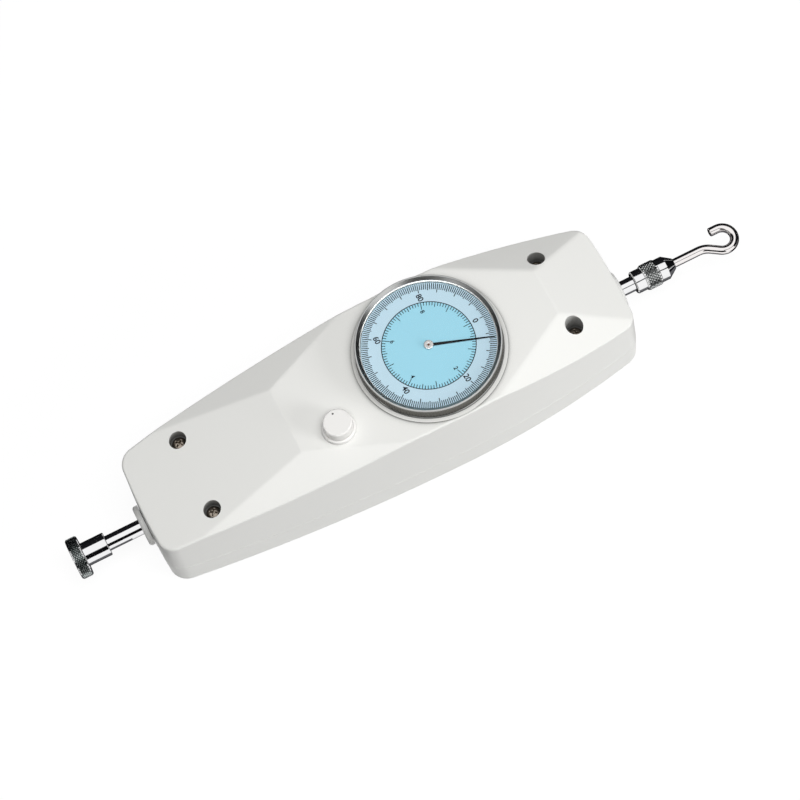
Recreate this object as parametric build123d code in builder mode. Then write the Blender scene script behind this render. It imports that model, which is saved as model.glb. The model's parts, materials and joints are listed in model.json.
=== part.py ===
from build123d import *
import math
import os

# Analogue push-pull force gauge. Millimetres. The origin is the centre of the pointer axis on the flat back,
# +X runs along the measuring rod towards the pull hook and +Z comes out of the dial.

# ---- casing, as two moulded shells that meet on the plane of the rod axis ----
rod_height = 13.0
plateau_height = 43.2
casing_left = -122.7
casing_right = 76.3
casing_half_width = 31.0
flank_radius_left = 870.0
flank_radius_right = 350.0
end_bow = 1.0
corner_radius = 7.5
front_draft = 2.0
rear_draft = 1.0
shell_wall = 2.4
rear_floor = 2.4
rim_fillet = 1.0
crease_fillet = 5.0
back_fillet = 1.0
seam_chamfer = 0.25
lip_thickness = 1.2
lip_height = 1.6
lip_clearance = 0.15
lip_gap_half_width = 9.0

# ---- facets of the front cover: the corners of the plateau and where each side facet meets the rim ----
plateau_left = -59.8
plateau_left_inset = 17.0
plateau_right = 48.9
plateau_right_inset = 20.9
left_break_x = -22.4
left_break_inset = 1.1
right_break_x = 14.0
right_break_inset = 1.1
left_slope = 11.0
right_slope = 24.5
left_facet_drop = 18.5
right_facet_drop = 27.5

# ---- cover screws ----
screw_left_x = -98.3
screw_right_x = 52.1
screw_half_span = 15.5
screw_seat_height = 30.6
counterbore_radius = 3.4
boss_radius = 4.6
screw_radius = 1.5
screw_clearance = 0.2
thread_gap = 0.02
screw_head_radius = 2.8
screw_head_height = 1.9
screw_head_fillet = 0.7
screw_recess_depth = 1.1
screw_recess_width = 0.7
screw_recess_length = 3.2
screw_end_height = 5.0

# ---- threaded inserts in the back, for a test stand ----
insert_spacing_x = 120.0
insert_spacing_y = 30.0
insert_centre_x = -23.2
insert_length = 8.0
insert_radius = 3.5
insert_bore_radius = 2.1
insert_boss_radius = 5.2
insert_boss_height = 9.5

# ---- end bushes that guide the rod through the end walls ----
bush_rim_radius = 8.1
bush_rim_length = 2.2
bush_neck_radius = 6.0
bush_flange_radius = 7.6
bush_flange_length = 1.6
bush_edge_fillet = 1.1
running_clearance = 0.05
seat_clearance = 0.03

# ---- measuring rod, rack and push head ----
rod_radius = 3.0
rod_end_radius = 2.5
travel = 10.0
rack_left = -34.0
rack_right = -4.0
rack_half_width = 4.0
rack_half_height = 3.0
rack_face_width = 5.0
rack_lead_teeth = 3
rod_tenon_radius = 2.0
rod_tenon_length = 7.0
push_sleeve_radius = 4.65
push_sleeve_right = -138.9
push_disc_right = -148.4
push_disc_left = -153.0
push_disc_radius = 8.25
push_chamfer = 0.4
push_bore_depth = 8.0

# ---- coupling that carries the hook ----
collar_left = 84.5
knurl_left = 88.6
knurl_right = 95.0
nose_right = 98.2
cone_right = 101.8
collar_radius = 4.5
knurl_radius = 5.3
nose_radius = 4.7
cone_tip_radius = 2.2
core_radius = 3.6
coupling_bore_depth = 6.0
core_wall = 0.8

# ---- hook, bent from round wire in the plane of the casing seam ----
wire_radius = 1.75
hook_eye_radius = 4.75
hook_eye_x = 123.0
hook_eye_y = 0.2
hook_slant = 35.0
hook_bend_radius = 8.0
hook_tip_length = 3.1
hook_head_radius = 2.5
hook_head_length = 1.6
hook_tip_chamfer = 0.3

# ---- main spring and its seats ----
spring_collar_left = 22.3
spring_collar_length = 4.0
spring_collar_radius = 6.2
spring_mean_radius = 5.3
spring_wire_radius = 0.8
spring_turns = 7
spring_wire_sides = 6
end_float = 0.3
stop_tube_radius = 4.1
stop_tube_wall = 0.8
stop_margin = 1.5

# ---- frame of the movement ----
frame_thickness = 2.0
frame_height = 4.5
frame_left = -52.0
frame_right = 66.0
frame_wide_left = -44.0
frame_wide_right = 26.0
frame_half_width = 19.0
frame_neck_half_width = 9.5
ear_height = 22.0
stop_ear_left = 20.0
frame_screw_left_x = -25.0
frame_screw_right_x = 10.0
frame_screw_y = 16.0
frame_boss_radius = 4.0
pillar_left_x = -35.0
pillar_right_x = 20.0
pillar_y = 14.0
pillar_radius = 3.0
pillar_tap_depth = 5.0
plate_head_clearance = 1.1
top_plate_left = -40.4
top_plate_right = 25.0
top_plate_half_width = 18.0
plate_corner_radius = 3.0
small_head_radius = 2.6
small_head_height = 1.7
small_slot_width = 0.6
small_slot_depth = 0.7

# ---- gear train: rack and pinion, then a step-up to the pointer ----
pressure_angle = 20.0
rack_module = 0.5
rack_pinion_teeth = 20
train_module = 0.4
drive_gear_teeth = 63
pointer_pinion_teeth = 20
tooth_backlash = 0.06
gear_plate_clearance = 3.0
drive_gear_face = 2.0
drive_gear_hub_radius = 3.6
drive_gear_hub_length = 2.0
drive_gear_window_radius = 2.6
drive_gear_window_pitch = 7.4
drive_gear_windows = 5
arbor_radius = 1.5
pivot_radius = 1.0
pointer_arbor_radius = 1.2
pointer_pivot_radius = 0.7
pointer_shaft_radius = 0.9
pointer_pinion_face = 3.0
bridge_gear_clearance = 2.0
bridge_left = -3.5
bridge_right = 9.5
bridge_half_width = 15.0
bridge_post_x = 6.0
bridge_post_y = 12.0
bridge_post_radius = 2.2

# ---- dial, pointer and bezel ----
dial_face_height = 47.2
dial_thickness = 0.8
dial_hole_radius = 1.4
bezel_radius = 27.6
bezel_top_height = 50.0
bezel_lip_width = 0.6
bezel_window_radius = 25.2
bezel_cone_drop = 1.0
bezel_seat_gap = 0.3
bezel_edge = 0.3
spigot_radius = 25.0
spigot_wall = 1.6
spigot_height = 2.4
snap_depth = 0.4
snap_length = 0.7
collar_ring_radius = 29.3
collar_ring_height = 0.6
crystal_thickness = 0.7
crystal_groove_depth = 0.5
retainer_thickness = 0.5
retainer_width = 1.2
pointer_angle = -20.5
pointer_length = 24.8
pointer_root_width = 1.1
pointer_tip_width = 0.35
pointer_thickness = 0.3
pointer_lift = 0.25
pointer_hub_radius = 1.8
pointer_hub_height = 0.65
pointer_hub_dimple = 0.6

# ---- peak-hold release button, its stem and the pawl it lifts ----
button_x = -43.5
button_y = -12.3
button_radius = 5.5
button_top_height = 49.7
button_wall = 1.4
button_crown = 1.6
button_edge_fillet = 0.7
button_mark_radius = 0.4
button_mark_offset = 3.7
button_travel = 2.5
guide_rim_radius = 6.5
guide_tube_radius = 6.0
guide_top_height = 45.0
guide_floor_height = 40.0
guide_floor_thickness = 1.0
stem_radius = 1.5
clip_radius = 2.3
clip_thickness = 0.6
button_spring_radius = 3.4
button_spring_wire = 0.3
button_spring_turns = 4
pawl_pivot_y = -7.0
pawl_pivot_height = 19.0
pawl_width = 3.0
pawl_half_thickness = 1.0
pawl_hub_radius = 2.2
pawl_pin_radius = 1.0
pawl_reach = 7.3
pawl_pad_left = 4.0
pawl_pad_right = 7.5
pawl_pad_gap = 0.3
bracket_ear_thickness = 1.5
bracket_side_gap = 1.0
bracket_half_width = 2.5
bracket_foot_thickness = 1.5

os.makedirs("parts", exist_ok=True)


# ================================================================ casing form


def flank_height(x, inset):
    """Half-width of the plan outline at x, moved inwards by inset."""
    radius = flank_radius_left if x < 0 else flank_radius_right
    return casing_half_width - radius + math.sqrt((radius - inset) ** 2 - x**2)


def flank_arc(start, end, side, inset):
    """One bowed stretch of the casing's side, from x = start to x = end."""
    stations = (start, (start + end) / 2, end)
    return ThreePointArc(*[(x, side * flank_height(x, inset)) for x in stations])


def casing_plan(inset):
    """Plan outline: two long bowed flanks, two slightly bowed ends and rounded corners."""
    left = casing_left + inset
    right = casing_right - inset
    left_corner = left + end_bow
    right_corner = right - end_bow
    left_half = flank_height(left_corner, inset)
    right_half = flank_height(right_corner, inset)
    with BuildSketch() as plan:
        with BuildLine():
            flank_arc(left_corner, 0, -1, inset)
            flank_arc(0, right_corner, -1, inset)
            ThreePointArc((right_corner, -right_half), (right, 0), (right_corner, right_half))
            flank_arc(right_corner, 0, 1, inset)
            flank_arc(0, left_corner, 1, inset)
            ThreePointArc((left_corner, left_half), (left, 0), (left_corner, -left_half))
        make_face()
        corners = plan.vertices().group_by(Axis.X)
        fillet(corners[0] + corners[-1], radius=corner_radius - inset)
    return plan.sketch


def facet_plane(corner, along, tilt, inset):
    """Plane through two points at plateau height that falls away outwards by tilt degrees."""
    start = Vector(corner[0], corner[1], plateau_height)
    edge = (Vector(along[0], along[1], plateau_height) - start).normalized()
    outward = edge.cross(Vector(0, 0, 1))
    if outward.dot(start) < 0:
        outward = outward * -1
    angle = math.radians(tilt)
    normal = outward * math.sin(angle) + Vector(0, 0, 1) * math.cos(angle)
    return Plane(origin=start - normal * inset, z_dir=normal)


def casing_facets(inset):
    """The seven planes that the top of the front cover is made of."""
    planes = [Plane.XY.offset(plateau_height - inset)]
    for tilt, x, half in (
        (left_slope, plateau_left, casing_half_width - plateau_left_inset),
        (right_slope, plateau_right, casing_half_width - plateau_right_inset),
    ):
        planes.append(facet_plane((x, half), (x, -half), tilt, inset))
    for side in (1, -1):
        left_corner = (plateau_left, side * (casing_half_width - plateau_left_inset))
        left_break = (left_break_x, side * (casing_half_width - left_break_inset))
        planes.append(facet_plane(left_corner, left_break, left_facet_drop, inset))
        right_corner = (plateau_right, side * (casing_half_width - plateau_right_inset))
        right_break = (right_break_x, side * (casing_half_width - right_break_inset))
        planes.append(facet_plane(right_corner, right_break, right_facet_drop, inset))
    return planes


def front_form(inset):
    """The faceted upper half of the casing as a solid block, moved inwards by inset."""
    with BuildPart() as block:
        with BuildSketch(Plane.XY.offset(rod_height)):
            add(casing_plan(inset))
        extrude(amount=plateau_height - rod_height, taper=front_draft)
        for plane in casing_facets(inset):
            split(bisect_by=plane, keep=Keep.BOTTOM)
    return block.part


def rear_form(inset, floor):
    """The lower half of the casing as a solid block, moved inwards by inset and up by floor."""
    height = rod_height - floor
    with BuildPart() as block:
        with BuildSketch(Plane.XY.offset(floor)):
            add(casing_plan(inset + height * math.tan(math.radians(rear_draft))))
        extrude(amount=height, taper=-rear_draft)
    return block.part


def corner_points(xs, half):
    """The points (x, -half) and (x, half) for each x."""
    return [(x, y) for x in xs for y in (-half, half)]


def gear_profile(teeth, module, turn):
    """Spur gear outline with straight flanks cut just inside the true involutes."""
    pitch = teeth * module / 2
    base = pitch * math.cos(math.radians(pressure_angle))
    tip = pitch + module * 0.95
    root = pitch - module * 1.25
    half_pitch_angle = (math.pi * module / 2 - tooth_backlash) / pitch / 2
    involute_at_pitch = math.tan(math.radians(pressure_angle)) - math.radians(pressure_angle)

    def flank_angle(radius):
        roll = math.acos(min(1, base / max(radius, base)))
        return half_pitch_angle + involute_at_pitch - (math.tan(roll) - roll)

    points = []
    for tooth in range(teeth):
        middle = math.radians(turn) + 2 * math.pi * tooth / teeth
        foot = max(root, base)
        for radius, angle in (
            (root, middle - flank_angle(foot)),
            (tip, middle - flank_angle(tip)),
            (tip, middle + flank_angle(tip)),
            (root, middle + flank_angle(foot)),
        ):
            points.append((radius * math.cos(angle), radius * math.sin(angle)))
    return points


def disc(radius, bottom, height, centre=(0, 0), bore=0):
    """Round part standing on +Z, with an optional bore."""
    with BuildPart() as part:
        with BuildSketch(Plane.XY.offset(bottom)):
            with Locations(centre):
                Circle(radius)
                if bore:
                    Circle(bore, mode=Mode.SUBTRACT)
        extrude(amount=height)
    return part.part


def rod_turning(profile):
    """Solid of revolution about the measuring rod's axis, from (x, radius) points."""
    with BuildPart() as part:
        with BuildSketch(Plane.XZ):
            with BuildLine():
                Polyline(*[(x, rod_height + radius) for x, radius in profile], close=True)
            make_face()
        revolve(axis=Axis((0, 0, rod_height), (1, 0, 0)))
    return part.part


def dial_turning(profile):
    """Solid of revolution about the pointer axis, from (radius, height) points."""
    with BuildPart() as part:
        with BuildSketch(Plane.XZ):
            with BuildLine():
                Polyline(*profile, close=True)
            make_face()
        revolve(axis=Axis.Z)
    return part.part


def slotted_screws(points, seat, length):
    """Cheese-head screws with their heads standing on the plane z = seat."""
    with BuildPart() as screws:
        with BuildSketch(Plane.XY.offset(seat)):
            with Locations(*points):
                Circle(small_head_radius)
        extrude(amount=small_head_height)
        with BuildSketch(Plane.XY.offset(seat + small_head_height)):
            with Locations(*points):
                Rectangle(3 * small_head_radius, small_slot_width)
        extrude(amount=-small_slot_depth, mode=Mode.SUBTRACT)
        with BuildSketch(Plane.XY.offset(seat)):
            with Locations(*points):
                Circle(screw_radius)
        extrude(amount=-length)
    return screws.part


cover_screw_points = corner_points((screw_left_x, screw_right_x), screw_half_span)
insert_xs = (insert_centre_x - insert_spacing_x / 2, insert_centre_x + insert_spacing_x / 2)
insert_points = corner_points(insert_xs, insert_spacing_y / 2)
frame_screw_points = corner_points((frame_screw_left_x, frame_screw_right_x), frame_screw_y)
pillar_points = corner_points((pillar_left_x, pillar_right_x), pillar_y)
bridge_post_points = corner_points((bridge_post_x,), bridge_post_y)

button_skirt_height = guide_floor_height + end_float + button_travel

tapped_radius = screw_radius + thread_gap
cover_bore_radius = bush_neck_radius + seat_clearance
guide_hole_radius = guide_tube_radius + seat_clearance
spigot_bore_radius = spigot_radius - spigot_wall
spigot_top_height = plateau_height + spigot_height
frame_top = frame_height + frame_thickness
rack_pitch_y = rack_half_width - rack_module
gear_arbor_radius = rack_module * rack_pinion_teeth / 2
gear_arbor_y = rack_pitch_y + gear_arbor_radius
top_plate_height = plateau_height - shell_wall - plate_head_clearance - small_head_height - frame_thickness
drive_gear_base = top_plate_height - gear_plate_clearance - drive_gear_face
bridge_height = drive_gear_base - drive_gear_hub_length - bridge_gear_clearance - frame_thickness
train_centres = train_module * (drive_gear_teeth + pointer_pinion_teeth) / 2
gear_arbor_x = -math.sqrt(train_centres**2 - gear_arbor_y**2)
front_inner = front_form(shell_wall)

# ================================================================ casing

with BuildPart() as front_cover:
    add(front_form(0))
    creases = front_cover.edges().filter_by(lambda e: e.center().Z > rod_height + 1)
    walls = front_cover.faces().filter_by(lambda f: abs(f.normal_at().Z) < 0.2)
    fillet(creases - walls.edges(), radius=crease_fillet)
    walls = front_cover.faces().filter_by(lambda f: abs(f.normal_at().Z) < 0.2)
    rim = walls.edges().filter_by(lambda e: e.center().Z > rod_height + 1)
    rim = rim.filter_by(lambda e: abs(e.tangent_at(0.5).Z) < 0.7)
    fillet(rim, radius=rim_fillet)
    chamfer(front_cover.faces().sort_by(Axis.Z)[0].edges(), length=seam_chamfer)
    add(front_inner, mode=Mode.SUBTRACT)
    with BuildPart(mode=Mode.PRIVATE) as bosses:
        with BuildSketch(Plane.XY.offset(rod_height)):
            with Locations(*cover_screw_points):
                Circle(boss_radius)
        extrude(amount=plateau_height - rod_height)
        add(front_inner, mode=Mode.INTERSECT)
    add(bosses.part)
    add(disc(collar_ring_radius, plateau_height, collar_ring_height))
    add(disc(bezel_radius + bezel_seat_gap, plateau_height, spigot_height), mode=Mode.SUBTRACT)
    add(disc(spigot_radius, plateau_height, spigot_height))
    add(disc(spigot_radius + snap_depth, spigot_top_height - snap_length, snap_length))
    add(disc(spigot_bore_radius, rod_height + boss_radius, plateau_height), mode=Mode.SUBTRACT)
    button_centre = (button_x, button_y)
    add(disc(guide_hole_radius, rod_height, plateau_height, button_centre), mode=Mode.SUBTRACT)
    with BuildSketch(Plane.XY.offset(screw_seat_height)):
        with Locations(*cover_screw_points):
            Circle(counterbore_radius)
    extrude(amount=plateau_height, mode=Mode.SUBTRACT)
    with BuildSketch(Plane.XY):
        with Locations(*cover_screw_points):
            Circle(screw_radius + screw_clearance)
    extrude(amount=plateau_height, mode=Mode.SUBTRACT)
    with BuildSketch(Plane.YZ.offset(casing_left - end_bow)):
        with Locations((0, rod_height)):
            Circle(cover_bore_radius)
    extrude(amount=casing_right - casing_left + 2 * end_bow, mode=Mode.SUBTRACT)
front_cover.part.label = "front_cover"
export_step(front_cover.part, "parts/front_cover.step")

with BuildPart() as rear_cover:
    add(rear_form(0, 0))
    fillet(rear_cover.faces().sort_by(Axis.Z)[0].edges(), radius=back_fillet)
    chamfer(rear_cover.faces().sort_by(Axis.Z)[-1].edges(), length=seam_chamfer)
    add(rear_form(shell_wall, rear_floor), mode=Mode.SUBTRACT)
    lip_inset = shell_wall + lip_clearance
    with BuildSketch(Plane.XY.offset(rod_height - lip_height)):
        add(casing_plan(lip_inset))
        add(casing_plan(lip_inset + lip_thickness), mode=Mode.SUBTRACT)
    extrude(amount=2 * lip_height)
    with BuildSketch(Plane.XY.offset(rod_height - lip_height)):
        add(casing_plan(shell_wall))
        add(casing_plan(lip_inset + lip_thickness), mode=Mode.SUBTRACT)
    extrude(amount=lip_height)
    with BuildSketch(Plane.XY.offset(rod_height)):
        Rectangle(2 * (casing_right - casing_left), 2 * lip_gap_half_width)
    extrude(amount=2 * lip_height, mode=Mode.SUBTRACT)
    with BuildSketch(Plane.YZ.offset(casing_left + shell_wall)):
        with Locations((0, rod_height)):
            Circle(bush_flange_radius + end_float)
    extrude(amount=casing_right - casing_left - 2 * shell_wall, mode=Mode.SUBTRACT)
    for points, radius, top in (
        (cover_screw_points, boss_radius, rod_height),
        (insert_points, insert_boss_radius, insert_boss_height),
        (frame_screw_points, frame_boss_radius, frame_height),
    ):
        with BuildSketch(Plane.XY.offset(rear_floor)):
            with Locations(*points):
                Circle(radius)
        extrude(amount=top - rear_floor)
    for points, radius, start, end in (
        (cover_screw_points, tapped_radius, screw_end_height, rod_height),
        (insert_points, insert_radius, 0, insert_length),
        (frame_screw_points, tapped_radius, rear_floor, frame_height),
    ):
        with BuildSketch(Plane.XY.offset(start)):
            with Locations(*points):
                Circle(radius)
        extrude(amount=end - start, mode=Mode.SUBTRACT)
    with BuildSketch(Plane.YZ.offset(casing_left - end_bow)):
        with Locations((0, rod_height)):
            Circle(cover_bore_radius)
    extrude(amount=casing_right - casing_left + 2 * end_bow, mode=Mode.SUBTRACT)
rear_cover.part.label = "rear_cover"
export_step(rear_cover.part, "parts/rear_cover.step")

with BuildPart() as cover_screws:
    with BuildSketch(Plane.XY.offset(screw_seat_height)):
        with Locations(*cover_screw_points):
            Circle(screw_head_radius)
    extrude(amount=screw_head_height)
    fillet(cover_screws.faces().filter_by(Plane.XY).group_by(Axis.Z)[-1].edges(), radius=screw_head_fillet)
    with BuildSketch(Plane.XY.offset(screw_seat_height + screw_head_height)):
        with Locations(*cover_screw_points):
            Rectangle(screw_recess_length, screw_recess_width)
            Rectangle(screw_recess_width, screw_recess_length)
    extrude(amount=-screw_recess_depth, taper=12, mode=Mode.SUBTRACT)
    with BuildSketch(Plane.XY.offset(screw_end_height + end_float)):
        with Locations(*cover_screw_points):
            Circle(screw_radius)
    extrude(amount=screw_seat_height - screw_end_height - end_float)
cover_screws.part.label = "cover_screws"
export_step(cover_screws.part, "parts/cover_screws.step")

with BuildPart() as mount_inserts:
    with BuildSketch(Plane.XY):
        with Locations(*insert_points):
            Circle(insert_radius)
            Circle(insert_bore_radius, mode=Mode.SUBTRACT)
    extrude(amount=insert_length)
mount_inserts.part.label = "mount_inserts"
export_step(mount_inserts.part, "parts/mount_inserts.step")

# End bushes: a rounded rim outside, a neck in the wall and a flange inside.
for name, outer_face, outward in (("end_bush_left", casing_left, -1), ("end_bush_right", casing_right, 1)):
    rim_end = outer_face + outward * bush_rim_length
    inner_face = outer_face - outward * (shell_wall + end_float)
    flange_end = inner_face - outward * bush_flange_length
    seat_face = outer_face + outward * seat_clearance
    with BuildPart() as bush:
        add(
            rod_turning(
                [
                    (rim_end, rod_radius + running_clearance),
                    (rim_end, bush_rim_radius),
                    (seat_face, bush_rim_radius),
                    (seat_face, bush_neck_radius),
                    (inner_face, bush_neck_radius),
                    (inner_face, bush_flange_radius),
                    (flange_end, bush_flange_radius),
                    (flange_end, rod_radius + running_clearance),
                ]
            )
        )
        edge = bush.edges().filter_by(GeomType.CIRCLE).filter_by(lambda e: e.radius > bush_flange_radius + 0.1)
        edge = edge.filter_by(lambda e: abs(e.center().X - rim_end) < bush_rim_length / 2)
        fillet(edge, radius=bush_edge_fillet)
    bush.part.label = name
    export_step(bush.part, f"parts/{name}.step")

# ================================================================ measuring rod

push_bore_end = push_sleeve_right - push_bore_depth
with BuildPart() as push_rod:
    add(
        rod_turning(
            [
                (push_bore_end + end_float, 0),
                (push_bore_end + end_float, rod_end_radius),
                (push_sleeve_right, rod_end_radius),
                (push_sleeve_right, rod_radius),
                (rack_left, rod_radius),
                (rack_left, rod_tenon_radius),
                (rack_left + rod_tenon_length, rod_tenon_radius),
                (rack_left + rod_tenon_length, 0),
            ]
        )
    )
push_rod.part.label = "push_rod"
export_step(push_rod.part, "parts/push_rod.step")

with BuildPart() as push_head:
    add(
        rod_turning(
            [
                (push_disc_left, 0),
                (push_disc_left, push_disc_radius - push_chamfer),
                (push_disc_left + push_chamfer, push_disc_radius),
                (push_disc_right - push_chamfer, push_disc_radius),
                (push_disc_right, push_disc_radius - push_chamfer),
                (push_disc_right, push_sleeve_radius),
                (push_sleeve_right - push_chamfer, push_sleeve_radius),
                (push_sleeve_right, push_sleeve_radius - push_chamfer),
                (push_sleeve_right, rod_end_radius + thread_gap),
                (push_bore_end, rod_end_radius + thread_gap),
                (push_bore_end, 0),
            ]
        )
    )
push_head.part.label = "push_head"
export_step(push_head.part, "parts/push_head.step")

# The rack is cut in the middle stretch of the rod, which is a square bar tapped at both ends.
tooth_pitch = math.pi * rack_module
rack_root_y = rack_pitch_y - 1.25 * rack_module
rack_tip_y = rack_pitch_y + 0.95 * rack_module
flank_run = math.tan(math.radians(pressure_angle))
space_half_pitch = (tooth_pitch / 2 + tooth_backlash / 2) / 2
space_tip_half = space_half_pitch + (rack_tip_y - rack_pitch_y) * flank_run
space_root_half = space_half_pitch - (rack_pitch_y - rack_root_y) * flank_run
rack_spaces = 2 * rack_lead_teeth + math.ceil(travel / tooth_pitch)
with BuildPart() as rack_bar:
    bar_length = rack_right - rack_left
    bar_middle = (rack_left + rack_right) / 2
    with BuildSketch(Plane.XY.offset(rod_height - rack_half_height)):
        with Locations((bar_middle, (rack_tip_y - rack_half_width) / 2)):
            Rectangle(bar_length, rack_tip_y + rack_half_width)
    extrude(amount=2 * rack_half_height)
    with BuildSketch(Plane.XY.offset(rod_height - rack_half_height)):
        for count in range(rack_spaces):
            middle = gear_arbor_x + (rack_lead_teeth - count) * tooth_pitch
            with BuildLine():
                Polyline(
                    (middle - space_tip_half, rack_tip_y),
                    (middle - space_root_half, rack_root_y),
                    (middle + space_root_half, rack_root_y),
                    (middle + space_tip_half, rack_tip_y),
                    close=True,
                )
            make_face()
    extrude(amount=2 * rack_half_height, mode=Mode.SUBTRACT)
    for face_x, direction in ((rack_left, 1), (rack_right, -1)):
        with BuildSketch(Plane.YZ.offset(face_x)):
            with Locations((0, rod_height)):
                Circle(rod_tenon_radius + thread_gap)
        extrude(amount=direction * (rod_tenon_length + end_float), mode=Mode.SUBTRACT)
rack_bar.part.label = "rack_bar"
export_step(rack_bar.part, "parts/rack_bar.step")

coupling_bore_end = collar_left + coupling_bore_depth
with BuildPart() as pull_rod:
    add(
        rod_turning(
            [
                (rack_right - rod_tenon_length, 0),
                (rack_right - rod_tenon_length, rod_tenon_radius),
                (rack_right, rod_tenon_radius),
                (rack_right, rod_radius),
                (collar_left, rod_radius),
                (collar_left, rod_end_radius),
                (coupling_bore_end - end_float, rod_end_radius),
                (coupling_bore_end - end_float, 0),
            ]
        )
    )
pull_rod.part.label = "pull_rod"
export_step(pull_rod.part, "parts/pull_rod.step")

spring_seat = spring_collar_left + spring_collar_length
ear_face = frame_right - frame_thickness
with BuildPart() as spring_collar:
    add(
        rod_turning(
            [
                (spring_collar_left, rod_radius + thread_gap),
                (spring_collar_left, spring_collar_radius),
                (spring_seat, spring_collar_radius),
                (spring_seat, rod_radius + thread_gap),
            ]
        )
    )
spring_collar.part.label = "spring_collar"
export_step(spring_collar.part, "parts/spring_collar.step")

stop_tube_left = spring_seat + travel + stop_margin
with BuildPart() as stop_tube:
    add(
        rod_turning(
            [
                (stop_tube_left, stop_tube_radius - stop_tube_wall),
                (stop_tube_left, stop_tube_radius),
                (ear_face, stop_tube_radius),
                (ear_face, stop_tube_radius - stop_tube_wall),
            ]
        )
    )
stop_tube.part.label = "stop_tube"
export_step(stop_tube.part, "parts/stop_tube.step")

# Compression spring: a wire swept along a helix about the rod, six-sided to keep its coils light.
spring_length = ear_face - spring_seat - 2 * (spring_wire_radius + end_float / 2)
spring_start = spring_seat + spring_wire_radius + end_float / 2
with BuildPart() as main_spring:
    with BuildLine() as coil:
        Helix(
            spring_length / spring_turns,
            spring_length,
            spring_mean_radius,
            center=(spring_start, 0, rod_height),
            direction=(1, 0, 0),
        )
    with BuildSketch(Plane(origin=coil.line @ 0, z_dir=coil.line % 0)):
        RegularPolygon(spring_wire_radius, spring_wire_sides)
    sweep(is_frenet=True)
main_spring.part.label = "main_spring"
export_step(main_spring.part, "parts/main_spring.step")

# ================================================================ hook coupling and hook

with BuildPart() as coupling_body:
    add(
        rod_turning(
            [
                (collar_left, rod_end_radius + thread_gap),
                (collar_left, collar_radius - push_chamfer),
                (collar_left + push_chamfer, collar_radius),
                (knurl_left, collar_radius),
                (knurl_left, core_radius),
                (knurl_right, core_radius),
                (knurl_right, hook_head_radius + running_clearance),
                (coupling_bore_end + core_wall, hook_head_radius + running_clearance),
                (coupling_bore_end + core_wall, 0),
                (coupling_bore_end, 0),
                (coupling_bore_end, rod_end_radius + thread_gap),
            ]
        )
    )
coupling_body.part.label = "coupling_body"
export_step(coupling_body.part, "parts/coupling_body.step")

with BuildPart() as knurled_ring:
    add(
        rod_turning(
            [
                (knurl_left, core_radius + thread_gap),
                (knurl_left, knurl_radius - push_chamfer),
                (knurl_left + push_chamfer, knurl_radius),
                (knurl_right - push_chamfer, knurl_radius),
                (knurl_right, knurl_radius - push_chamfer),
                (knurl_right, core_radius + thread_gap),
            ]
        )
    )
knurled_ring.part.label = "knurled_ring"
export_step(knurled_ring.part, "parts/knurled_ring.step")

with BuildPart() as coupling_nose:
    add(
        rod_turning(
            [
                (knurl_right, wire_radius + running_clearance),
                (knurl_right, nose_radius),
                (nose_right, nose_radius),
                (cone_right, cone_tip_radius),
                (cone_right, wire_radius + running_clearance),
            ]
        )
    )
coupling_nose.part.label = "coupling_nose"
export_step(coupling_nose.part, "parts/coupling_nose.step")

# Hook: a straight shank, a bend away from the axis, a round eye and a short straight tip.
hook_head_right = knurl_right - end_float
slant = math.radians(hook_slant)
eye_start_angle = -90 - hook_slant
eye_start_x = hook_eye_x + hook_eye_radius * math.cos(math.radians(eye_start_angle))
eye_start_y = hook_eye_y + hook_eye_radius * math.sin(math.radians(eye_start_angle))
bend_corner_x = eye_start_x + eye_start_y / math.tan(slant)
bend_run = hook_bend_radius * math.tan(slant / 2)
bend_end_x = bend_corner_x + bend_run * math.cos(slant)
bend_end_y = -bend_run * math.sin(slant)
with BuildPart() as pull_hook:
    with BuildLine(Plane.XY.offset(rod_height)) as hook_line:
        Line((hook_head_right, 0), (bend_corner_x - bend_run, 0))
        CenterArc((bend_corner_x - bend_run, -hook_bend_radius), hook_bend_radius, 90, -hook_slant)
        Line((bend_end_x, bend_end_y), (eye_start_x, eye_start_y))
        CenterArc((hook_eye_x, hook_eye_y), hook_eye_radius, eye_start_angle, 180 + hook_slant)
        eye_top = (hook_eye_x, hook_eye_y + hook_eye_radius)
        Line(eye_top, (eye_top[0] - hook_tip_length, eye_top[1]))
    with BuildSketch(Plane(origin=(hook_head_right, 0, rod_height), z_dir=(1, 0, 0))):
        Circle(wire_radius)
    sweep()
    with BuildSketch(Plane(origin=(hook_head_right, 0, rod_height), z_dir=(-1, 0, 0))):
        Circle(hook_head_radius)
    extrude(amount=hook_head_length)
    tip_edge = pull_hook.faces().filter_by(Plane.YZ).sort_by(Axis.Y)[-1].edges()
    chamfer(tip_edge, length=hook_tip_chamfer)
pull_hook.part.label = "pull_hook"
export_step(pull_hook.part, "parts/pull_hook.step")

# ================================================================ frame of the movement

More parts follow.
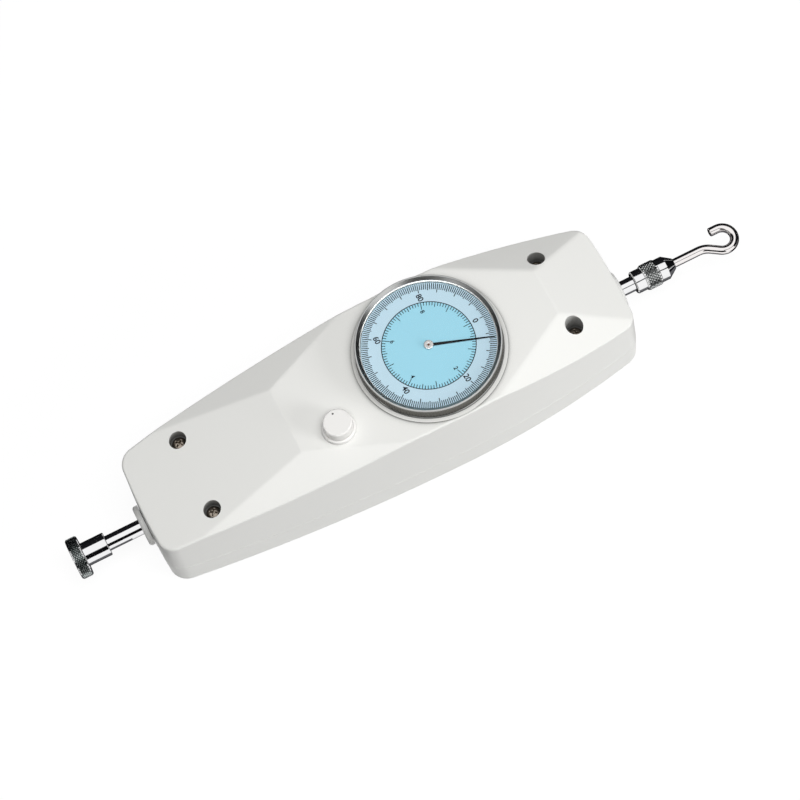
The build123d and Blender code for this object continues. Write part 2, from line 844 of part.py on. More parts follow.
with BuildPart() as base_frame:
    with BuildSketch(Plane.XY.offset(frame_height)):
        with Locations(((frame_wide_left + frame_wide_right) / 2, 0)):
            RectangleRounded(
                frame_wide_right - frame_wide_left, 2 * frame_half_width, plate_corner_radius
            )
        with Locations(((frame_left + frame_right) / 2, 0)):
            Rectangle(frame_right - frame_left, 2 * frame_neck_half_width)
    extrude(amount=frame_thickness)
    for ear_left, bore in (
        (frame_left, rod_radius + running_clearance),
        (stop_ear_left, rod_radius + end_float),
        (ear_face, rod_radius + running_clearance),
    ):
        with BuildSketch(Plane.YZ.offset(ear_left)):
            with Locations((0, (frame_top + ear_height) / 2)):
                Rectangle(2 * frame_neck_half_width, ear_height - frame_top)
            with Locations((0, rod_height)):
                Circle(bore, mode=Mode.SUBTRACT)
        extrude(amount=frame_thickness)
    ear_corners = base_frame.edges().filter_by(Axis.X).group_by(Axis.Z)[-1]
    fillet(ear_corners, radius=plate_corner_radius)
    with BuildSketch(Plane.XY.offset(frame_height)):
        with Locations(*frame_screw_points):
            Circle(screw_radius + screw_clearance)
        with Locations((gear_arbor_x, gear_arbor_y)):
            Circle(pivot_radius + running_clearance)
    extrude(amount=frame_thickness, mode=Mode.SUBTRACT)
base_frame.part.label = "base_frame"
export_step(base_frame.part, "parts/base_frame.step")

frame_screw_length = frame_top - rear_floor - end_float
with BuildPart() as frame_screws:
    add(slotted_screws(frame_screw_points, frame_top, frame_screw_length))
frame_screws.part.label = "frame_screws"
export_step(frame_screws.part, "parts/frame_screws.step")

with BuildPart() as frame_pillars:
    with BuildSketch(Plane.XY.offset(frame_top)):
        with Locations(*pillar_points):
            Circle(pillar_radius)
    extrude(amount=top_plate_height - frame_top)
    with BuildSketch(Plane.XY.offset(top_plate_height)):
        with Locations(*pillar_points):
            Circle(tapped_radius)
    extrude(amount=-pillar_tap_depth, mode=Mode.SUBTRACT)
frame_pillars.part.label = "frame_pillars"
export_step(frame_pillars.part, "parts/frame_pillars.step")

plate_top = top_plate_height + frame_thickness
with BuildPart() as top_plate:
    with BuildSketch(Plane.XY.offset(top_plate_height)):
        with Locations(((top_plate_left + top_plate_right) / 2, 0)):
            RectangleRounded(
                top_plate_right - top_plate_left, 2 * top_plate_half_width, plate_corner_radius
            )
        with Locations(*pillar_points, *bridge_post_points):
            Circle(screw_radius + screw_clearance, mode=Mode.SUBTRACT)
        with Locations((gear_arbor_x, gear_arbor_y)):
            Circle(pivot_radius + running_clearance, mode=Mode.SUBTRACT)
        Circle(pointer_shaft_radius + running_clearance, mode=Mode.SUBTRACT)
    extrude(amount=frame_thickness)
top_plate.part.label = "top_plate"
export_step(top_plate.part, "parts/top_plate.step")

plate_screw_points = pillar_points + bridge_post_points
plate_screw_length = frame_thickness + pillar_tap_depth - end_float
with BuildPart() as plate_screws:
    add(slotted_screws(plate_screw_points, plate_top, plate_screw_length))
plate_screws.part.label = "plate_screws"
export_step(plate_screws.part, "parts/plate_screws.step")

bridge_top = bridge_height + frame_thickness
with BuildPart() as pivot_bridge:
    with BuildSketch(Plane.XY.offset(bridge_height)):
        with Locations(((bridge_left + bridge_right) / 2, 0)):
            RectangleRounded(bridge_right - bridge_left, 2 * bridge_half_width, plate_corner_radius)
        Circle(pointer_pivot_radius + running_clearance, mode=Mode.SUBTRACT)
    extrude(amount=frame_thickness)
    with BuildSketch(Plane.XY.offset(bridge_top)):
        with Locations(*bridge_post_points):
            Circle(bridge_post_radius)
    extrude(amount=top_plate_height - bridge_top)
    with BuildSketch(Plane.XY.offset(top_plate_height)):
        with Locations(*bridge_post_points):
            Circle(tapped_radius)
    extrude(amount=-pillar_tap_depth, mode=Mode.SUBTRACT)
pivot_bridge.part.label = "pivot_bridge"
export_step(pivot_bridge.part, "parts/pivot_bridge.step")

# ================================================================ gear train

# A tooth of the rack pinion points at the rack, and a tooth of the drive gear points at the pointer pinion.
train_direction = math.degrees(math.atan2(-gear_arbor_y, -gear_arbor_x))
rack_centre = (gear_arbor_x, gear_arbor_y)
with BuildPart() as gear_arbor:
    add(disc(pivot_radius, frame_height, plate_top - frame_height, rack_centre))
    shoulder_bottom = frame_top + end_float
    shoulder_top = top_plate_height - end_float
    add(disc(arbor_radius, shoulder_bottom, shoulder_top - shoulder_bottom, rack_centre))
gear_arbor.part.label = "gear_arbor"
export_step(gear_arbor.part, "parts/gear_arbor.step")

rack_pinion_base = rod_height - rack_face_width / 2
with BuildPart() as rack_pinion:
    with BuildSketch(Plane.XY.offset(rack_pinion_base)):
        with Locations(rack_centre):
            Polygon(*gear_profile(rack_pinion_teeth, rack_module, -90), align=None)
            Circle(arbor_radius + thread_gap, mode=Mode.SUBTRACT)
    extrude(amount=rack_face_width)
rack_pinion.part.label = "rack_pinion"
export_step(rack_pinion.part, "parts/rack_pinion.step")

with BuildPart() as drive_gear:
    with BuildSketch(Plane.XY.offset(drive_gear_base)):
        with Locations(rack_centre):
            Polygon(*gear_profile(drive_gear_teeth, train_module, train_direction), align=None)
            with PolarLocations(drive_gear_window_pitch, drive_gear_windows):
                Circle(drive_gear_window_radius, mode=Mode.SUBTRACT)
    extrude(amount=drive_gear_face)
    with BuildSketch(Plane.XY.offset(drive_gear_base)):
        with Locations(rack_centre):
            Circle(drive_gear_hub_radius)
    extrude(amount=-drive_gear_hub_length)
    with BuildSketch(Plane.XY.offset(drive_gear_base - drive_gear_hub_length)):
        with Locations(rack_centre):
            Circle(arbor_radius + thread_gap)
    extrude(amount=drive_gear_hub_length + drive_gear_face, mode=Mode.SUBTRACT)
drive_gear.part.label = "drive_gear"
export_step(drive_gear.part, "parts/drive_gear.step")

pointer_base = dial_face_height + pointer_lift
pointer_hub_top = pointer_base + pointer_hub_height
with BuildPart() as pointer_arbor:
    add(disc(pointer_pivot_radius, bridge_height, frame_thickness + end_float))
    add(disc(pointer_arbor_radius, bridge_top + end_float, top_plate_height - bridge_top - 2 * end_float))
    add(disc(pointer_shaft_radius, top_plate_height - end_float, pointer_base - top_plate_height + end_float))
pointer_arbor.part.label = "pointer_arbor"
export_step(pointer_arbor.part, "parts/pointer_arbor.step")

pointer_pinion_base = drive_gear_base + drive_gear_face / 2 - pointer_pinion_face / 2
pinion_turn = train_direction + 180 + 180 / pointer_pinion_teeth
with BuildPart() as pointer_pinion:
    with BuildSketch(Plane.XY.offset(pointer_pinion_base)):
        Polygon(*gear_profile(pointer_pinion_teeth, train_module, pinion_turn), align=None)
        Circle(pointer_arbor_radius + thread_gap, mode=Mode.SUBTRACT)
    extrude(amount=pointer_pinion_face)
pointer_pinion.part.label = "pointer_pinion"
export_step(pointer_pinion.part, "parts/pointer_pinion.step")

# ================================================================ dial, bezel and pointer

bezel_bottom = plateau_height + bezel_seat_gap
bezel_bore = spigot_radius + running_clearance
snap_bore = spigot_radius + snap_depth + running_clearance
snap_height = spigot_top_height - snap_length - end_float
dial_radius = snap_bore - running_clearance
crystal_top = bezel_top_height - bezel_cone_drop
crystal_bottom = crystal_top - crystal_thickness
crystal_radius = bezel_window_radius + crystal_groove_depth
lip_inner = bezel_radius - bezel_lip_width
with BuildPart() as bezel_ring:
    add(
        dial_turning(
            [
                (bezel_bore, bezel_bottom),
                (bezel_radius - bezel_edge, bezel_bottom),
                (bezel_radius, bezel_bottom + bezel_edge),
                (bezel_radius, bezel_top_height - bezel_edge),
                (bezel_radius - bezel_edge, bezel_top_height),
                (lip_inner, bezel_top_height),
                (bezel_window_radius, crystal_top + running_clearance),
                (crystal_radius + running_clearance, crystal_top + running_clearance),
                (crystal_radius + running_clearance, crystal_bottom),
                (bezel_window_radius, crystal_bottom),
                (bezel_window_radius, dial_face_height),
                (snap_bore, dial_face_height),
                (snap_bore, snap_height),
                (bezel_bore, snap_height),
            ]
        )
    )
bezel_ring.part.label = "bezel_ring"
export_step(bezel_ring.part, "parts/bezel_ring.step")

dial_bottom = dial_face_height - dial_thickness
with BuildPart() as crystal:
    add(disc(crystal_radius, crystal_bottom, crystal_thickness))
crystal.part.label = "crystal"
export_step(crystal.part, "parts/crystal.step")

with BuildPart() as dial_plate:
    add(disc(dial_radius, dial_bottom, dial_thickness, bore=dial_hole_radius))
dial_plate.part.label = "dial_plate"
export_step(dial_plate.part, "parts/dial_plate.step")

retainer_inner = dial_radius - retainer_width
retainer_bottom = dial_bottom - retainer_thickness
with BuildPart() as dial_retainer:
    add(disc(dial_radius, retainer_bottom, retainer_thickness, bore=retainer_inner))
dial_retainer.part.label = "dial_retainer"
export_step(dial_retainer.part, "parts/dial_retainer.step")

with BuildPart() as pointer:
    with BuildSketch(Plane.XY.offset(pointer_base).rotated((0, 0, pointer_angle))):
        with BuildLine():
            Polyline(
                (0, -pointer_root_width / 2),
                (pointer_length, -pointer_tip_width / 2),
                (pointer_length, pointer_tip_width / 2),
                (0, pointer_root_width / 2),
                close=True,
            )
        make_face()
        Circle(pointer_hub_radius - 0.1)
    extrude(amount=pointer_thickness)
pointer.part.label = "pointer"
export_step(pointer.part, "parts/pointer.step")

with BuildPart() as pointer_hub:
    hub_base = pointer_base + pointer_thickness
    add(disc(pointer_hub_radius, hub_base, pointer_hub_height - pointer_thickness))
    with BuildSketch(Plane.XY.offset(pointer_hub_top)):
        Circle(pointer_hub_dimple)
    extrude(amount=-pointer_hub_dimple / 2, mode=Mode.SUBTRACT)
pointer_hub.part.label = "pointer_hub"
export_step(pointer_hub.part, "parts/pointer_hub.step")

# ================================================================ peak-hold release

guide_bottom = guide_floor_height - guide_floor_thickness
pawl_top = pawl_pivot_height + pawl_half_thickness
stem_tip_height = pawl_top + end_float
cap_ceiling = button_top_height - button_crown
with BuildPart() as button_guide:
    add(disc(guide_tube_radius, guide_bottom, guide_top_height - guide_bottom, button_centre))
    rim_base = plateau_height + seat_clearance
    add(disc(guide_rim_radius, rim_base, guide_top_height - rim_base, button_centre))
    fillet(button_guide.edges().group_by(Axis.Z)[-1], radius=bush_edge_fillet / 2)
    bore = button_radius + running_clearance
    add(disc(bore, guide_floor_height, button_top_height, button_centre), mode=Mode.SUBTRACT)
    stem_bore = stem_radius + running_clearance
    add(disc(stem_bore, guide_bottom, button_top_height, button_centre), mode=Mode.SUBTRACT)
button_guide.part.label = "button_guide"
export_step(button_guide.part, "parts/button_guide.step")

with BuildPart() as button_cap:
    cap_height = button_top_height - button_skirt_height
    add(disc(button_radius, button_skirt_height, cap_height, button_centre))
    fillet(button_cap.edges().group_by(Axis.Z)[-1], radius=button_edge_fillet)
    hollow = button_radius - button_wall
    hollow_depth = cap_ceiling - button_skirt_height
    add(disc(hollow, button_skirt_height, hollow_depth, button_centre), mode=Mode.SUBTRACT)
    with BuildSketch(Plane.XY.offset(button_top_height)):
        with Locations((button_x, button_y)):
            with Locations((0, button_mark_offset)):
                Circle(button_mark_radius)
    extrude(amount=-button_mark_radius, mode=Mode.SUBTRACT)
button_cap.part.label = "button_cap"
export_step(button_cap.part, "parts/button_cap.step")

with BuildPart() as button_stem:
    stem_length = cap_ceiling - stem_tip_height - stem_radius
    add(disc(stem_radius, stem_tip_height + stem_radius, stem_length, button_centre))
    with Locations((button_x, button_y, stem_tip_height + stem_radius)):
        Sphere(stem_radius)
    clip_top = guide_bottom - end_float
    add(disc(clip_radius, clip_top - clip_thickness, clip_thickness, button_centre))
button_stem.part.label = "button_stem"
export_step(button_stem.part, "parts/button_stem.step")

button_spring_length = cap_ceiling - guide_floor_height - 2 * button_spring_wire - end_float
spring_foot = guide_floor_height + button_spring_wire + end_float / 2
with BuildPart() as button_spring:
    with BuildLine() as button_coil:
        Helix(
            button_spring_length / button_spring_turns,
            button_spring_length,
            button_spring_radius,
            center=(button_x, button_y, spring_foot),
        )
    with BuildSketch(Plane(origin=button_coil.line @ 0, z_dir=button_coil.line % 0)):
        RegularPolygon(button_spring_wire, spring_wire_sides)
    sweep(is_frenet=True)
button_spring.part.label = "button_spring"
export_step(button_spring.part, "parts/button_spring.step")

# The pawl rocks on a pin along X: the stem pushes its long arm down and its pad lifts off the rod.
pawl_left = button_x - pawl_width / 2
pad_bottom = rod_height + rod_radius + pawl_pad_gap
with BuildPart() as peak_pawl:
    with BuildSketch(Plane.YZ.offset(pawl_left)):
        arm_span = pawl_reach + pawl_pad_right
        with Locations((pawl_pivot_y + (pawl_pad_right - pawl_reach) / 2, pawl_pivot_height)):
            Rectangle(arm_span, 2 * pawl_half_thickness)
        pad_width = pawl_pad_right - pawl_pad_left
        pad_height = pawl_pivot_height - pad_bottom
        with Locations((pawl_pivot_y + pawl_pad_left + pad_width / 2, pad_bottom + pad_height / 2)):
            Rectangle(pad_width, pad_height)
        with Locations((pawl_pivot_y, pawl_pivot_height)):
            Circle(pawl_hub_radius)
            Circle(pawl_pin_radius + running_clearance, mode=Mode.SUBTRACT)
    extrude(amount=pawl_width)
peak_pawl.part.label = "peak_pawl"
export_step(peak_pawl.part, "parts/peak_pawl.step")

ear_inner_left = pawl_left - bracket_side_gap
ear_inner_right = pawl_left + pawl_width + bracket_side_gap
bracket_left = ear_inner_left - bracket_ear_thickness
bracket_right = ear_inner_right + bracket_ear_thickness
with BuildPart() as pawl_bracket:
    with BuildSketch(Plane.XY.offset(frame_top)):
        with Locations(((bracket_left + bracket_right) / 2, pawl_pivot_y)):
            Rectangle(bracket_right - bracket_left, 2 * bracket_half_width)
    extrude(amount=bracket_foot_thickness)
    for ear_left in (bracket_left, ear_inner_right):
        with BuildSketch(Plane.YZ.offset(ear_left)):
            with Locations((pawl_pivot_y, (frame_top + pawl_pivot_height) / 2)):
                Rectangle(2 * bracket_half_width, pawl_pivot_height - frame_top)
            with Locations((pawl_pivot_y, pawl_pivot_height)):
                Circle(bracket_half_width)
                Circle(pawl_pin_radius + thread_gap, mode=Mode.SUBTRACT)
        extrude(amount=bracket_ear_thickness)
pawl_bracket.part.label = "pawl_bracket"
export_step(pawl_bracket.part, "parts/pawl_bracket.step")

with BuildPart() as pawl_pin:
    with BuildSketch(Plane.YZ.offset(bracket_left)):
        with Locations((pawl_pivot_y, pawl_pivot_height)):
            Circle(pawl_pin_radius)
    extrude(amount=bracket_right - bracket_left)
pawl_pin.part.label = "pawl_pin"
export_step(pawl_pin.part, "parts/pawl_pin.step")

print("rack pinion turns", travel / gear_arbor_radius, "rad; centre", gear_arbor_x, gear_arbor_y)
print("pointer turns", travel / gear_arbor_radius * drive_gear_teeth / pointer_pinion_teeth, "rad")
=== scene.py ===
import json
import math
import bpy
import bmesh
from mathutils import Matrix, Quaternion, Vector


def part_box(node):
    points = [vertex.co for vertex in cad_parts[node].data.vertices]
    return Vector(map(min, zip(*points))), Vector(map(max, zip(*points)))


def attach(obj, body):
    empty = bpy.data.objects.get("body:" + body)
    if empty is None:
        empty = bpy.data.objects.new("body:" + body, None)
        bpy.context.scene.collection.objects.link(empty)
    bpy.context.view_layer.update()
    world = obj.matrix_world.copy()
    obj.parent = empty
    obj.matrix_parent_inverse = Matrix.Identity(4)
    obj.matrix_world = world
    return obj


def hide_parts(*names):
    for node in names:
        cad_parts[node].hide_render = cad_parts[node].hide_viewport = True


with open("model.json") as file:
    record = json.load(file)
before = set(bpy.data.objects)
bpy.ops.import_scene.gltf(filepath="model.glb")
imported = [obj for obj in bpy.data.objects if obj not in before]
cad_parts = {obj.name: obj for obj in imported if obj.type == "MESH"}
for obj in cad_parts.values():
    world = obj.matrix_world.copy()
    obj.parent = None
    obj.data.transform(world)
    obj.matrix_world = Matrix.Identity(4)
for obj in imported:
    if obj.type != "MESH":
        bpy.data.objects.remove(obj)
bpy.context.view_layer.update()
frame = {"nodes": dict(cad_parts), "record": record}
nodes = frame["nodes"]
bodies = frame["record"]["behaviour"]["bodies"]
bodyOf = {node: body for body, members in bodies.items() for node in members}
print("frame loaded:", len(nodes), "solids")

mm = 0.001
scene = bpy.context.scene
scene.view_settings.view_transform = "Standard"


# small helpers for node trees

def addNode(tree, kind, inputs=None, **settings):
    node = tree.nodes.new(kind)
    for key, value in settings.items():
        setattr(node, key, value)
    for key, value in (inputs or {}).items():
        socket = node.inputs[key]
        if isinstance(value, bpy.types.NodeSocket):
            tree.links.new(value, socket)
        else:
            socket.default_value = value
    return node


def calc(tree, operation, first, second=0.0, third=0.0):
    inputs = {0: first, 1: second, 2: third}
    return addNode(tree, "ShaderNodeMath", inputs, operation=operation).outputs[0]


def noise(tree, vector, scale, detail, roughness=0.5):
    inputs = {"Vector": vector, "Scale": scale, "Detail": detail, "Roughness": roughness}
    return addNode(tree, "ShaderNodeTexNoise", inputs).outputs[0]


def distanceOut(tree, first, second):
    squares = [calc(tree, "POWER", side, 2.0) for side in (first, second)]
    return calc(tree, "SQRT", calc(tree, "ADD", *squares))


def scaledColour(tree, colour, factor):
    node = addNode(tree, "ShaderNodeVectorMath", {0: colour}, operation="SCALE")
    tree.links.new(factor, node.inputs["Scale"])
    return node.outputs[0]


def mixedColour(tree, share, first, second):
    node = addNode(tree, "ShaderNodeMix", data_type="RGBA")
    for source, index in ((share, 0), (first, 6), (second, 7)):  # factor, A and B for colours
        tree.links.new(source, node.inputs[index])
    return node.outputs[2]


def mixedSurface(tree, share, first, second):
    # two shaders mixed and joined to the material's or the world's output
    inputs = {0: share, 1: first.outputs[0], 2: second.outputs[0]}
    mix = addNode(tree, "ShaderNodeMixShader", inputs)
    output = next(node for node in tree.nodes if node.type in ("OUTPUT_MATERIAL", "OUTPUT_WORLD"))
    tree.links.new(mix.outputs[0], output.inputs["Surface"])


def newGroup(name, kind, inputs, outputs):
    # inputs: name -> (socket type, default); outputs: name -> socket type
    tree = bpy.data.node_groups.new(name, kind)
    for label, (socketType, default) in inputs.items():
        socket = tree.interface.new_socket(label, in_out="INPUT", socket_type=socketType)
        if default is not None:
            socket.default_value = default
    for label, socketType in outputs.items():
        tree.interface.new_socket(label, in_out="OUTPUT", socket_type=socketType)
    return tree, addNode(tree, "NodeGroupInput").outputs, addNode(tree, "NodeGroupOutput").inputs


# finishes that several materials share

floatSocket = "NodeSocketFloat"
colourSocket = "NodeSocketColor"
vectorSocket = "NodeSocketVector"

# how many times a metre each unevenness comes round
unevenness = {"cloud": 22.0, "smear": 70.0, "haze": 120.0, "patch": 160.0, "wear": 500.0,
              "speck": 900.0}


def buildMouldedGrainAndShade():
    # fine spark grain from the mould, slow changes of tone and gloss, and painted shade that
    # darkens holes, counterbores, creases and seams by ambient occlusion
    tree, given, result = newGroup(
        "mouldedFinish", "ShaderNodeTree",
        {"Vector": (vectorSocket, None), "Colour": (colourSocket, (0.8, 0.8, 0.8, 1)),
         "Grain Size": (floatSocket, 0.0004), "Tone Spread": (floatSocket, 0.02),
         "Crevice Reach": (floatSocket, 0.006), "Crevice Dark": (floatSocket, 1.6),
         "Roughness": (floatSocket, 0.4), "Roughness Spread": (floatSocket, 0.05)},
        {"Colour": colourSocket, "Roughness": floatSocket, "Height": floatSocket})
    grain = noise(tree, given["Vector"], calc(tree, "DIVIDE", 1.0, given["Grain Size"]), 2.0)
    cloud = noise(tree, given["Vector"], unevenness["cloud"], 3.0)
    smear = noise(tree, given["Vector"], unevenness["smear"], 4.0)
    shift = calc(tree, "SUBTRACT", cloud, 0.5)
    gain = calc(tree, "MULTIPLY_ADD", shift, given["Tone Spread"], 1.0)
    # painted shade: ambient occlusion within reach darkens the colour in holes, counterbores,
    # creases and seams; the tone below is the random tone times this painted shade
    paintedShade = addNode(tree, "ShaderNodeAmbientOcclusion", {"Distance": given["Crevice Reach"]},
                      samples=8, only_local=True)
    shadeGain = calc(tree, "POWER", paintedShade.outputs["AO"], given["Crevice Dark"])
    glossShift = calc(tree, "SUBTRACT", smear, 0.5)
    gloss = calc(tree, "MULTIPLY_ADD", glossShift, given["Roughness Spread"], given["Roughness"])
    tone = calc(tree, "MULTIPLY", gain, shadeGain)
    tree.links.new(scaledColour(tree, given["Colour"], tone), result["Colour"])
    tree.links.new(gloss, result["Roughness"])
    tree.links.new(grain, result["Height"])
    return tree


def buildTurnedFinish():
    # tool marks that run round the X axis, on walls and on end faces
    tree, given, result = newGroup(
        "turnedFinish", "ShaderNodeTree",
        {"Vector": (vectorSocket, None), "Colour": (colourSocket, (0.8, 0.8, 0.8, 1)),
         "Pitch": (floatSocket, 0.0002), "Tone Spread": (floatSocket, 0.05),
         "Roughness": (floatSocket, 0.1), "Roughness Spread": (floatSocket, 0.06)},
        {"Colour": colourSocket, "Roughness": floatSocket, "Height": floatSocket})
    parts = addNode(tree, "ShaderNodeSeparateXYZ", {"Vector": given["Vector"]}).outputs
    radius = distanceOut(tree, parts["Y"], parts["Z"])
    section = addNode(tree, "ShaderNodeCombineXYZ", {"X": parts["X"], "Y": radius}).outputs[0]
    marks = noise(tree, section, calc(tree, "DIVIDE", 1.0, given["Pitch"]), 3.0, 0.7)
    patch = noise(tree, given["Vector"], unevenness["patch"], 3.0)
    shift = calc(tree, "SUBTRACT", calc(tree, "ADD", marks, patch), 1.0)
    gain = calc(tree, "MULTIPLY_ADD", shift, given["Tone Spread"], 1.0)
    gloss = calc(tree, "MULTIPLY_ADD", shift, given["Roughness Spread"], given["Roughness"])
    tree.links.new(scaledColour(tree, given["Colour"], gain), result["Colour"])
    gloss = calc(tree, "MAXIMUM", gloss, 0.02)  # never a perfect mirror
    tree.links.new(gloss, result["Roughness"])
    tree.links.new(marks, result["Height"])
    return tree


def buildKnurlWearAndShade():
    # painted shade darkens the valleys and leaves the ridges bright, by distance from the X axis,
    # with random wear mixed in
    tree, given, result = newGroup(
        "knurlFinish", "ShaderNodeTree",
        {"Vector": (vectorSocket, None), "Ridge Colour": (colourSocket, (0.8, 0.8, 0.8, 1)),
         "Valley Colour": (colourSocket, (0.1, 0.1, 0.1, 1)), "Root Radius": (floatSocket, 0.009),
         "Depth": (floatSocket, 0.0004), "Wear": (floatSocket, 0.5),
         "Roughness": (floatSocket, 0.2), "Roughness Spread": (floatSocket, 0.1)},
        {"Colour": colourSocket, "Roughness": floatSocket})
    parts = addNode(tree, "ShaderNodeSeparateXYZ", {"Vector": given["Vector"]}).outputs
    radius = distanceOut(tree, parts["Y"], parts["Z"])
    # painted shade: the colour falls to the valley shade colour towards the knurl's root
    aboveRoot = calc(tree, "SUBTRACT", radius, given["Root Radius"])
    height = calc(tree, "DIVIDE", aboveRoot, given["Depth"])
    worn = noise(tree, given["Vector"], unevenness["wear"], 3.0)
    wear = calc(tree, "MULTIPLY", calc(tree, "SUBTRACT", worn, 0.5), given["Wear"])
    share = addNode(tree, "ShaderNodeMath", {0: height, 1: wear}, operation="ADD", use_clamp=True)
    colour = mixedColour(tree, share.outputs[0], given["Valley Colour"], given["Ridge Colour"])
    gloss = calc(tree, "MULTIPLY_ADD", worn, given["Roughness Spread"], given["Roughness"])
    tree.links.new(colour, result["Colour"])
    tree.links.new(gloss, result["Roughness"])
    return tree


def buildDialZones():
    # printed zones by distance from the pointer's axis, with an even fine mottle
    tree, given, result = newGroup(
        "dialZones", "ShaderNodeTree",
        {"Vector": (vectorSocket, None), "Inner Colour": (colourSocket, (0.3, 0.7, 0.9, 1)),
         "Outer Colour": (colourSocket, (0.6, 0.8, 0.9, 1)), "Zone Radius": (floatSocket, 0.018),
         "Mottle": (floatSocket, 0.03), "Roughness": (floatSocket, 0.5),
         "Roughness Spread": (floatSocket, 0.2)},
        {"Colour": colourSocket, "Roughness": floatSocket})
    parts = addNode(tree, "ShaderNodeSeparateXYZ", {"Vector": given["Vector"]}).outputs
    radius = distanceOut(tree, parts["X"], parts["Y"])
    outside = calc(tree, "GREATER_THAN", radius, given["Zone Radius"])
    zone = mixedColour(tree, outside, given["Inner Colour"], given["Outer Colour"])
    shift = calc(tree, "SUBTRACT", noise(tree, given["Vector"], unevenness["speck"], 3.0), 0.5)
    gain = calc(tree, "MULTIPLY_ADD", shift, given["Mottle"], 1.0)
    gloss = calc(tree, "MULTIPLY_ADD", shift, given["Roughness Spread"], given["Roughness"])
    tree.links.new(scaledColour(tree, zone, gain), result["Colour"])
    tree.links.new(gloss, result["Roughness"])
    return tree


mouldedFinish = buildMouldedGrainAndShade()
turnedFinish = buildTurnedFinish()
knurlFinish = buildKnurlWearAndShade()
dialZones = buildDialZones()


def startMaterial(name, **fixed):
    # Principled material; fixed values go straight on the shader's own sockets
    material = bpy.data.materials.new(name)
    material.use_nodes = True
    tree = material.node_tree
    shader = tree.nodes["Principled BSDF"]
    for key, value in fixed.items():
        shader.inputs[key.replace("_", " ")].default_value = value
    return material, tree, shader


def bareMaterial(name):
    # a material with only its output, for paper and cards
    material, tree, shader = startMaterial(name)
    tree.nodes.remove(shader)
    return material, tree


def placedVector(tree, centre=(0, 0, 0), turn=(0, 0, 0)):
    # object coordinates moved to the pattern's centre, then turned
    place = addNode(tree, "ShaderNodeTexCoord").outputs["Object"]
    moved = addNode(tree, "ShaderNodeVectorMath", {0: place, 1: centre}, operation="SUBTRACT")
    inputs = {"Vector": moved.outputs[0], "Rotation": turn}
    return addNode(tree, "ShaderNodeMapping", inputs).outputs[0]


def finishWith(tree, shader, finish, vector, values, depth=0.0):
    # places a finish on a shader; depth is the height of its relief in metres
    node = addNode(tree, "ShaderNodeGroup", node_tree=finish)
    tree.links.new(vector, node.inputs["Vector"])
    for key, value in values.items():
        node.inputs[key].default_value = value
    tree.links.new(node.outputs["Colour"], shader.inputs["Base Color"])
    tree.links.new(node.outputs["Roughness"], shader.inputs["Roughness"])
    if depth:
        relief = {"Height": node.outputs["Height"], "Distance": depth}
        tree.links.new(addNode(tree, "ShaderNodeBump", relief).outputs[0], shader.inputs["Normal"])


def plasticMaterial(name, plastic):
    material, tree, shader = startMaterial(name, IOR=1.5, Specular_IOR_Level=plastic["sheen"])
    values = {"Colour": plastic["colour"] + (1,), "Grain Size": plastic["grain"],
              "Tone Spread": plastic["toneSpread"], "Roughness": plastic["roughness"],
              "Roughness Spread": 0.08}
    finishWith(tree, shader, mouldedFinish, placedVector(tree), values, plastic["depth"])
    return material


def startMetal(name, metal):
    return startMaterial(name, Metallic=1.0, Specular_Tint=metal["edgeTint"] + (1,))


def turnedMaterial(name, metal):
    material, tree, shader = startMetal(name, metal)
    vector = placedVector(tree, metal["centre"], metal["turn"])
    values = {"Colour": metal["colour"] + (1,), "Pitch": metal["pitch"],
              "Tone Spread": metal["toneSpread"], "Roughness": metal["roughness"],
              "Roughness Spread": metal["roughnessSpread"]}
    finishWith(tree, shader, turnedFinish, vector, values, metal["depth"])
    return material


def knurlMaterial(name, metal, root, depth):
    material, tree, shader = startMetal(name, metal)
    values = {"Ridge Colour": metal["ridge"] + (1,), "Valley Colour": metal["valleyShade"] + (1,),
              "Root Radius": root, "Depth": depth, "Roughness": metal["roughness"]}
    finishWith(tree, shader, knurlFinish, placedVector(tree, rodCentre), values)
    return material


rodCentre = (0.0, 0.0, 13.0 * mm)
dialCentre = (0.0, 0.0, 0.0)
aboutX = (0.0, 0.0, 0.0)
aboutZ = (0.0, math.radians(90), 0.0)

casingLook = {"colour": (0.80, 0.80, 0.775), "roughness": 0.40, "sheen": 0.42, "grain": 0.0005,
              "depth": 0.000015, "toneSpread": 0.03}
buttonLook = {"colour": (0.84, 0.83, 0.81), "roughness": 0.30, "sheen": 0.5, "grain": 0.0005,
              "depth": 0.000005, "toneSpread": 0.02}
bushLook = {"colour": (0.74, 0.74, 0.725), "roughness": 0.36, "sheen": 0.45, "grain": 0.0005,
            "depth": 0.000008, "toneSpread": 0.03}
# painted dark reflection: the near-black edge tint turns the chrome's reflection black at grazing
# angles along its edges
chromeLook = {"colour": (0.87, 0.87, 0.88), "edgeTint": (0.12, 0.12, 0.13), "roughness": 0.07,
              "roughnessSpread": 0.03, "toneSpread": 0.02, "pitch": 0.0004, "depth": 0.0000004,
              "centre": rodCentre, "turn": aboutX}
# painted dark reflection: the near-black edge tint turns the hook's reflection black at grazing
# angles along its edges
hookLook = {"colour": (0.88, 0.85, 0.84), "edgeTint": (0.08, 0.08, 0.08), "roughness": 0.10,
            "roughnessSpread": 0.05, "toneSpread": 0.05, "pitch": 0.002, "depth": 0.000002,
            "centre": rodCentre, "turn": aboutX}
